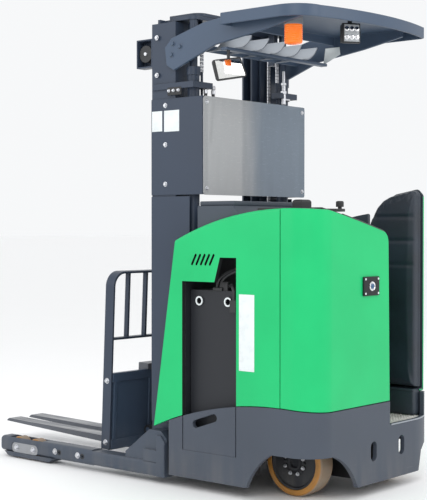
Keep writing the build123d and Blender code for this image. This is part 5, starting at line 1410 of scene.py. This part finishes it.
@dataclass
class Sounder:
    """Reversing sounder with a tinted lens and four white screws."""

    case: float = 0.012
    ring: tuple[Corner, ...] = ((0.024, 0.0), (0.024, 0.003), (0.021, 0.006), (0.018, 0.004), (0.0, 0.004))
    dome: float = 0.014
    dome_foot: float = 0.0035
    screw: tuple[Corner, ...] = ((0.0055, 0.0), (0.0055, 0.0015), (0.0033, 0.003), (0.0, 0.0032))
    screw_inset: float = 0.012

    def build(self) -> None:
        """Makes the sounder."""
        low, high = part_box("sounder")
        face = high.x - self.case
        middle = (face, (low.y + high.y) / 2, (low.z + high.z) / 2)
        reach = face - low.x
        rear = Facing.REAR.value
        shape = Shape()
        shape.block((face, low.y, low.z), high, 0.004)
        shape.lathe(self.ring, middle, rear, 40, 1)
        dome = []
        for step in range(6):
            turn = math.pi / 2 * step / 6
            along = self.dome_foot + (reach - self.dome_foot) * math.sin(turn)
            dome.append((self.dome * math.cos(turn), along))
        shape.lathe([*dome, (0.0, reach)], middle, rear, 36, 2)
        for y in (low.y + self.screw_inset, high.y - self.screw_inset):
            for z in (low.z + self.screw_inset, high.z - self.screw_inset):
                shape.lathe(self.screw, (face, y, z), rear, 16, 3)
        shape.piece("sounder_case", body_of("sounder"), [CASE, CHROME, BLUE_GLASS, PLATE], "black_plastic",
                    ["sounder"])


@dataclass
class Screen:
    """Dark screen on the display's sloping top."""

    place: Place = (-0.182, 0.016, 1.3744)
    along: Place = (0.9637, 0.0, 0.2669)
    size: Corner = (0.112, 0.066)
    thickness: float = 0.002

    def build(self) -> None:
        """Makes the screen."""
        long, wide = self.size
        outline = ((0.0, 0.0), (long, 0.0), (long, wide), (0.0, wide))
        shape = Shape()
        shape.plate(outline, at(*self.place), Vector(self.along), Facing.LEFT.value, self.thickness, 0.0006)
        shape.piece("display_screen", body_of("display"), [SCREEN], "black_plastic")


@dataclass
class BlankPlates:
    """Blank plates on the mast cover, the guard's web and the side panel."""

    thickness: float = 0.0012
    sunk: float = 0.0002
    # rear, front, foot and head of each plate
    cover_spots: tuple[Rectangle, ...] = ((0.782, 0.856, 1.864, 1.972), (0.660, 0.768, 1.860, 1.972))
    panel_spots: tuple[Rectangle, ...] = ((0.074, 0.171, 0.640, 1.020),)
    web: float = 0.440
    web_outline: tuple[Corner, ...] = ((-0.362, 2.268), (-0.246, 2.318), (-0.252, 2.360), (-0.348, 2.360))

    def build(self) -> None:
        """Lays the plates on their faces, with no words on them."""
        self.lay("cover_plates", "mast_covers", self.cover_spots, "grey")
        web = Shape()
        inner = Vector((AXLE.x, self.thickness - self.web, 0.0))
        web.plate(self.web_outline, inner, Facing.REAR.value, Facing.UP.value, 0.001)
        web.piece("web_plate", body_of("guard_frame"), [PLATE], "grey")
        self.lay("panel_plate", "side_panel_left", self.panel_spots, "green")

    def lay(self, name: str, node: str, spots: Sequence[Rectangle], slot: str) -> None:
        """Lays plates on the left face of a node, as one piece."""
        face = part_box(node)[1].y
        shape = Shape()
        for rear, front, foot, head in spots:
            shape.block(at(rear, face - self.sunk, foot), at(front, face + self.thickness, head), 0.0004)
        shape.piece(name, body_of(node), [PLATE], slot)


@dataclass
class Wheels:
    """Finishes of the wheels, and the drive wheel's nuts."""

    nut_circle: float = 0.060
    nut_sunk: float = 0.004
    nuts: int = 8
    amber: Color = (0.40, 0.180, 0.030)
    roughness: float = 0.38
    bevel: float = 0.003
    # each wheel with the joint that it turns on
    turning: ClassVar[dict[str, str]] = {
        "drive_tyre": "drive_spin", "caster_wheel": "caster_spin",
        "load_wheel_left_rear": "load_spin_lr", "load_wheel_left_front": "load_spin_lf",
        "load_wheel_right_rear": "load_spin_rr", "load_wheel_right_front": "load_spin_rf",
    }

    def build(self) -> None:
        """Dresses each wheel about its own axis."""
        for node, joint in self.turning.items():
            centre = tuple(JOINTS[joint]["pos_m"])
            low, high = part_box(node)
            finish = Urethane(f"urethane_{node}", self.amber, self.roughness, centre, (high.z - low.z) / 2)
            Softened(node, finish, self.bevel).build()
        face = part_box("drive_hub")[1].y
        places = []
        for number in range(self.nuts):
            turn = 2 * math.pi * (number + 0.5) / self.nuts
            spot = AXLE + Vector((self.nut_circle * math.cos(turn), 0, self.nut_circle * math.sin(turn)))
            places.append((Vector((spot.x, face - self.nut_sunk, spot.z)), Facing.LEFT))
        Fasteners("hub_nuts", body_of("drive_hub"), 0.0075, 0.008).build(places)


@dataclass
class KickPanel:
    """Moulded panel below the lean pad that hides the wall's foot."""

    rear: float = -0.226
    outer: float = -0.5195
    bevel: float = 0.014
    lip: float = 0.005
    lip_width: float = 0.030
    lip_height: float = 0.012
    lip_bevel: float = 0.004

    def build(self) -> None:
        """Makes the panel with a raised lip along its top."""
        low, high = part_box("kick_panel")
        corner = at(self.rear, self.outer, low.z)
        shape = Shape()
        shape.block(corner, high, self.bevel)
        shape.block((corner.x + self.lip_bevel, high.y - self.lip_width, high.z - self.lip_height),
                    (high.x, high.y + self.lip, high.z), self.lip_bevel)
        shape.piece("kick_moulding", body_of("kick_panel"), [KICK], "black_plastic", ["kick_panel"])


@dataclass
class Trim:
    """Edge trims, the cowl's cap and the liner behind the drive wheel."""

    edge: float = 0.0045
    hood_edge: float = 0.0075
    # left end, length and number of steps of the trimmed edges
    hood_run: tuple[float, float, int] = (0.30, 0.40, 30)
    sill_run: tuple[float, float, int] = (-0.128, 0.374, 24)
    cap_right: float = -0.030
    cap_rear: float = 0.072
    cap_left: float = 0.020
    cap_rise: float = 0.024
    liner: tuple[Place, Place] = ((-0.255, 0.046, 0.070), (0.160, 0.052, 0.300))

    def build(self) -> None:
        """Lays the trims on the body."""
        body = body_of("hood")
        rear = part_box("hood")[0].x
        hood = Shape().tube(self.hood_line(rear), self.hood_edge)
        hood.piece("hood_trim", body, [PLASTIC], "black_plastic")
        Shape().tube(self.sill_line(rear), self.edge).piece("sill_trim", body, [LOUVRE], "louvre")
        low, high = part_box("cowl")
        cap = Shape().block((low.x + self.cap_rear, self.cap_right, high.z - 0.001),
                            (high.x, high.y - self.cap_left, high.z + self.cap_rise), 0.006)
        cap.piece("cowl_cap", body_of("cowl"), [COWL], "panel_grey")
        liner = Shape().block(*(at(*corner) for corner in self.liner), 0.001)
        liner.piece("wheel_liner", body, [PLASTIC], "black_plastic")

    def hood_line(self, rear: float) -> list[Vector]:
        """Points along the hood's rear edge, from the left."""
        hood = surface_of("hood")
        line = []
        left, length, steps = self.hood_run
        for step in range(steps + 1):
            y = left - length * step / steps
            point = hood.ray_cast(Vector((rear + 0.012, y, 2.0)), Facing.DOWN.value)[0]
            if point and point.z > 1.0:
                line.append(point + Vector((0, 0, 0.001)))
        return line

    def sill_line(self, rear: float) -> list[Vector]:
        """Points along the skirt's edge behind the mat, from the left."""
        skirt = surface_of("skirt")
        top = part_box("floor_mat")[1].z
        line = []
        left, length, steps = self.sill_run
        for step in range(steps + 1):
            y = left - length * step / steps
            point = skirt.ray_cast(Vector((rear - 0.3, y, top - 0.006)), Facing.FRONT.value)[0]
            if point:
                line.append(Vector((point.x + 0.002, y, top - 0.002)))
        return line


@dataclass
class BatteryFittings:
    """Bright rings of the lifting eyes and the cables over the battery."""

    eyes: tuple[float, ...] = (0.288, 0.480)
    below_top: float = 0.056
    ring: tuple[Corner, ...] = (
        (0.016, -0.002), (0.024, -0.002), (0.024, 0.002), (0.016, 0.002), (0.016, -0.002),
    )
    cable: float = 0.009
    cable_gap: float = 0.026
    sleeve: float = 0.011
    # distance ahead, distance inside the battery's left face and height over its top
    cable_points: tuple[Place, ...] = (
        (0.372, 0.020, -0.004), (0.372, 0.020, 0.034), (0.352, 0.022, 0.066), (0.306, 0.026, 0.092),
        (0.262, 0.036, 0.108),
    )
    cable_end: Place = (0.214, 0.056, 0.124)

    def build(self) -> None:
        """Makes the rings and the cables."""
        low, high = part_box("battery")
        shape = Shape()
        for ahead in self.eyes:
            for side, facing in ((high.y, Facing.LEFT), (low.y, Facing.RIGHT)):
                shape.lathe(self.ring, at(ahead, side, high.z - self.below_top), facing.value, 32)
        shape.piece("eye_rings", body_of("battery"), [PLATE], "steel")
        cables = Shape()
        for shift in (0.0, self.cable_gap):
            points = [at(ahead - shift, high.y - inside, high.z + rise)
                      for ahead, inside, rise in self.cable_points]
            ahead, inside, rise = self.cable_end
            points.append(at(ahead, high.y - inside, high.z + rise + shift))
            cables.tube(smooth_line(points), self.cable)
            cables.rod(points[-2], points[-2].lerp(points[-1], 0.5), self.sleeve, 0.0, 16, 1)
        cables.block(at(0.330, high.y - 0.050, high.z - 0.002),
                     at(0.392, high.y - 0.002, high.z + 0.016), 0.004)
        cables.piece("battery_cables", body_of("battery"), [PLASTIC, RED], "black_plastic")


@dataclass
class MastFittings:
    """Hydraulic fittings and pipes at the lift cylinders' heads, and the hose wheel in its bracket."""

    valve: Place = (0.566, -0.336, 2.050)
    heads: tuple[Place, ...] = ((0.572, 0.335, 2.104), (0.572, 0.274, 2.104))
    # radius, start, end and sides of each step of the valve
    steps: tuple[tuple[float, float, float, int], ...] = (
        (0.013, 0.0, 0.060, 24), (0.018, 0.060, 0.078, 6), (0.011, 0.078, 0.110, 24),
        (0.016, 0.110, 0.124, 6), (0.008, 0.124, 0.190, 20),
    )
    pipe: tuple[Place, ...] = (
        (0.0, 0.0, -0.040), (0.0, 0.0, -0.120), (0.004, 0.006, -0.200), (0.012, 0.010, -0.300),
    )
    stubs: tuple[float, ...] = (0.655, 0.690, 0.722)
    stub_height: float = 2.074
    wheel: tuple[Corner, ...] = (
        (0.008, -0.020), (0.046, -0.020), (0.046, -0.016), (0.036, -0.010), (0.036, 0.010), (0.046, 0.016),
        (0.046, 0.020), (0.008, 0.020),
    )

    def build(self) -> None:
        """Makes the fittings, the pipes and the hose wheel."""
        body = body_of("lift_cylinders")
        up, out = Facing.UP.value, Facing.LEFT.value
        metal = Shape()
        valve = at(*self.valve)
        for radius, low, high, sides in self.steps:
            metal.rod(valve + up * low, valve + up * high, radius, 0.0015, sides)
        metal.rod(valve + up * 0.030, valve + Vector((0, -0.050, 0.030)), 0.010, 0.001, 20)
        pipes = Shape()
        for place in self.heads:
            head = at(*place)
            metal.rod(head - up * 0.020, head, 0.013, 0.002, 6)
            metal.rod(head - up * 0.046, head - up * 0.022, 0.011, 0.002, 20)
            pipes.tube(smooth_line([head + Vector(drop) for drop in self.pipe]), 0.009)
        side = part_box("mast_outer")[1].y
        for ahead in self.stubs:
            root = at(ahead, side, self.stub_height)
            metal.rod(root - out * 0.004, root + out * 0.010, 0.010, 0.002, 6)
            metal.rod(root + out * 0.008, root + out * 0.016, 0.006, 0.001, 16)
        pipes.block(at(0.640, side - 0.006, 2.050), at(0.738, side + 0.003, 2.092), 0.003)
        metal.piece("valve_fittings", body, [ZINC], "steel")
        pipes.piece("lift_pipes", body, [PLASTIC], "black_plastic")
        self.hose_wheel()

    def hose_wheel(self) -> None:
        """Makes the grooved wheel and its pin."""
        low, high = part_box("hose_bracket")
        middle = (low + high) / 2
        shape = Shape()
        shape.lathe(self.wheel, middle, Facing.LEFT.value, 40)
        ends = [Vector((middle.x, y, middle.z)) for y in (low.y + 0.006, high.y - 0.006)]
        shape.rod(*ends, 0.010, 0.001, 20, 1)
        shape.piece("hose_wheel", body_of("hose_bracket"), [PLASTIC, ZINC], "black_plastic")


@dataclass
class Hardware:
    """Bolts that show on the legs, covers, shield, mast, guard, backrest and pad.

    Bolts on both sides are given by their distance ahead and their height.
    """

    web: float = 0.460
    cover_spots: tuple[Corner, ...] = ((0.760, 2.000), (0.760, 1.792), (0.760, 1.582))
    leg_spots: tuple[Corner, ...] = ((1.338, 0.078), (1.524, 0.078))
    axle_spots: tuple[Corner, ...] = ((1.716, 0.0625), (1.860, 0.0625))
    bush_spots: tuple[Corner, ...] = ((1.300, 0.076), (1.490, 0.076))
    bush: tuple[Corner, ...] = (
        (0.0082, -0.004), (0.0150, -0.004), (0.0150, 0.0012), (0.0082, 0.0012), (0.0082, -0.004),
    )
    shield_spots: tuple[Corner, ...] = ((0.415, 2.005), (0.415, 1.556), (-0.415, 2.005), (-0.415, 1.556))
    backrest_spots: tuple[Corner, ...] = ((1.221, 0.494), (1.234, 0.148))
    mast_spots: tuple[Corner, ...] = ((0.816, 2.364), (0.816, 2.164))
    web_spots: tuple[Corner, ...] = ((0.640, 2.300), (0.700, 2.262), (0.690, 2.320))

    def build(self) -> None:
        """Sets all the bolts, one piece for each body and size."""
        chassis = body_of("leg_left")
        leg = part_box("leg_left")[1].y
        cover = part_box("mast_covers")[1].y
        Fasteners("cover_bolts", chassis, 0.010, 0.007).build(on_both_sides(cover, self.cover_spots))
        places = on_both_sides(leg, self.leg_spots) + on_both_sides(leg - 0.002, self.axle_spots)
        Fasteners("leg_bolts", chassis, 0.013, 0.008).build(places)
        rings = Shape()
        for place, facing in on_both_sides(leg, self.bush_spots):
            rings.lathe(self.bush, place, facing.value, 28)
        rings.piece("leg_bushes", chassis, [PLASTIC], "black_plastic")
        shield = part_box("shield")[0].x
        places = [(Vector((shield, left, height)), Facing.REAR) for left, height in self.shield_spots]
        Fasteners("shield_bolts", body_of("shield"), 0.009, 0.006).build(places)
        places = on_both_sides(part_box("load_backrest")[1].y, self.backrest_spots)
        Fasteners("backrest_bolts", body_of("load_backrest"), 0.012, 0.009).build(places)
        places = on_both_sides(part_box("mast_outer")[1].y, self.mast_spots)
        Fasteners("mast_bolts", body_of("mast_outer"), 0.010, 0.007).build(places)
        places = on_both_sides(self.web, self.web_spots)
        Fasteners("web_bolts", body_of("guard_frame"), 0.011, 0.008, FRAME_AND_LIT_GREY, "grey").build(places)
        places = [(at(-0.160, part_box("lean_pad")[1].y - 0.008, 1.215), Facing.LEFT)]
        Fasteners("pad_studs", body_of("lean_pad"), 0.006, 0.004, PLASTIC, "black_plastic").build(places)


@dataclass
class Welds:
    """Weld beads where the legs' gussets meet the frame."""

    radius: float = 0.0045
    low: float = 0.060
    high: float = 0.210

    def build(self) -> None:
        """Lays a bead up the outer face of each leg's root."""
        tree = bead_tree()
        shape = Shape()
        for node, corner in (("leg_left", 1), ("leg_right", 0)):
            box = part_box(node)
            line = [Vector((box[0].x + 0.002, box[corner].y, height)) for height in (self.low, self.high)]
            shape.mesh.from_mesh(tree.run(carrier_of(line, joined=True), GREY, Radius=self.radius))
        shape.piece("leg_welds", body_of("leg_left"), [GREY], "grey", outwards=False)


@dataclass
class Studio:
    """Pale floor, soft lights and the camera of the photograph's view."""

    eye: Place = (-3.711, 5.279, 1.350)
    look: Place = (0.650, -0.760, -0.018)
    lens: float = 88.9
    floor: Color = (0.985, 0.985, 0.985)
    floor_reach: float = 150.0
    sky: Color = (0.98, 0.99, 1.0)
    sky_strength: float = 0.95
    # name, ahead, left, height, size and power
    lights: tuple[tuple[str, float, float, float, float, float], ...] = (
        ("key", -2.6, 4.6, 4.2, 3.4, 90.0),
        ("side", 3.2, 4.4, 3.0, 3.0, 36.0),
        ("rear", -4.6, -1.2, 3.4, 3.0, 60.0),
        ("top", 0.4, 0.0, 6.0, 5.0, 40.0),
    )
    aim: Place = (0.4, 0.0, 1.0)

    def build(self) -> None:
        """Makes the floor, the lights and the camera."""
        self.lay_floor()
        self.light()
        camera = bpy.data.cameras.new("camera")
        camera.lens = self.lens
        camera.sensor_width = 36.0
        eye = linked("camera", camera)
        turn = Vector(self.look).to_track_quat("-Z", "Y").to_matrix()
        eye.matrix_world = Matrix.Translation(at(*self.eye)) @ turn.to_4x4()
        bpy.context.scene.camera = eye

    def lay_floor(self) -> None:
        """Makes the floor and its material."""
        data = bpy.data.meshes.new("floor")
        reach = self.floor_reach
        data.from_pydata([(-reach, -reach, 0), (reach, -reach, 0), (reach, reach, 0), (-reach, reach, 0)], [],
                         [(0, 1, 2, 3)])
        shader = Shader("studio_floor")
        base = shader.mix(shader.noise(1.2, 3.0), shade(self.floor, 0.985), self.floor)
        data.materials.append(shader.finish(Base_Color=base, Roughness=0.7))
        linked("floor", data)

    def light(self) -> None:
        """Makes the sky and the lights."""
        world = bpy.data.worlds.new("studio")
        world.use_nodes = True
        background = world.node_tree.nodes["Background"]
        background.inputs[0].default_value = rgba(self.sky)
        background.inputs[1].default_value = self.sky_strength
        bpy.context.scene.world = world
        bpy.context.scene.view_settings.view_transform = "Standard"
        for name, ahead, left, height, size, power in self.lights:
            light = bpy.data.lights.new(name, "AREA")
            light.size = size
            light.energy = power
            lamp = linked(name, light)
            lamp.location = at(ahead, left, height)
            aim = at(*self.aim) - lamp.location
            lamp.rotation_euler = aim.to_track_quat("-Z", "Y").to_euler()


# Nodes that keep their CAD form with rounded edges, with the width of the rounding
ROUNDED_NODES: dict[str, float] = {
    "skirt": 0.004, "side_panel_left": 0.004, "side_panel_right": 0.004, "hood": 0.012,
    "operator_wall": 0.006, "control_deck": 0.006, "hand_controls": 0.003, "display": 0.004,
    "battery": 0.004, "battery_lead": 0.003, "battery_gate_left": 0.003, "battery_gate_right": 0.003,
    "leg_left": 0.003, "leg_right": 0.003, "guard_frame": 0.004, "mast_covers": 0.0015,
    "fork_carriage": 0.003, "load_backrest": 0.002, "fork_left": 0.003, "fork_right": 0.003,
    "chassis_frame": 0.002, "mast_outer": 0.002, "mast_middle": 0.002, "mast_inner": 0.002,
    "lift_cylinders": 0.002, "free_lift_cylinder": 0.002, "free_lift_head": 0.002, "lift_carriage": 0.002,
    "reach_arms_outer": 0.002, "reach_arms_inner": 0.002, "reach_head": 0.002, "drive_unit": 0.003,
    "drive_hub": 0.002, "caster_fork": 0.002, "load_axles_left": 0.0015, "load_axles_right": 0.0015,
    "guard_louvres": 0.001, "hose_bracket": 0.002, "mirror_panel": 0.003, "shield": 0.001,
}

# Nodes whose finish isn't the one of their slot
OWN_FINISH: dict[str, Finish] = {
    "fork_left": FORK, "fork_right": FORK, "mirror_panel": PLASTIC, "leg_left": LEG_GREY,
    # the fork carriage's lighter grey is painted light on its shaded rear face
    "leg_right": LEG_GREY, "guard_frame": FRAME_AND_LIT_GREY, "fork_carriage": FRAME_AND_LIT_GREY, "display": FRAME_AND_LIT_GREY,
    "load_axles_left": AXLE_PLATE, "load_axles_right": AXLE_PLATE,
}

# Panels whose shown form is drawn on from the solid
SHAPED: dict[str, type[Softened]] = {"side_panel_left": SlantedPanel, "operator_wall": RoundedWall}

# Panels whose inner faces take a darker finish as painted shade, inside the body and the operator's
# compartment
INNER_SHADES: dict[str, InnerShade] = {
    "side_panel_left": InnerShade(PLASTIC, Facing.LEFT, 0.180, 0.575, 1.24),
    "side_panel_right": InnerShade(COWL, Facing.RIGHT),
    "operator_wall": InnerShade(KICK, Facing.RIGHT, rear_edge=False),
}


def dress_nodes() -> None:
    """Shows every plain CAD node with rounded edges and its own finish."""
    for node, width in ROUNDED_NODES.items():
        finish = OWN_FINISH.get(node, SLOT_FINISH[SLOT_OF[node]])
        SHAPED.get(node, Softened)(node, finish, width, INNER_SHADES.get(node)).build()
    FallingCowl("cowl", COWL, 0.006).build()


def main() -> None:
    """Builds the whole scene in order."""
    logging.basicConfig(level=logging.INFO, format="%(message)s")
    Studio().build()
    dress_nodes()
    for group in (Wheels(), LeanPad(), KickPanel(), FloorMat(), LiftChains(), Beacon(), WorkLamp(), Mirror(),
                  Sounder(), Screen(), BlankPlates(), Trim(), BatteryFittings(), MastFittings(), Hardware(),
                  Welds()):
        group.build()


if __name__ == "__main__":
    main()
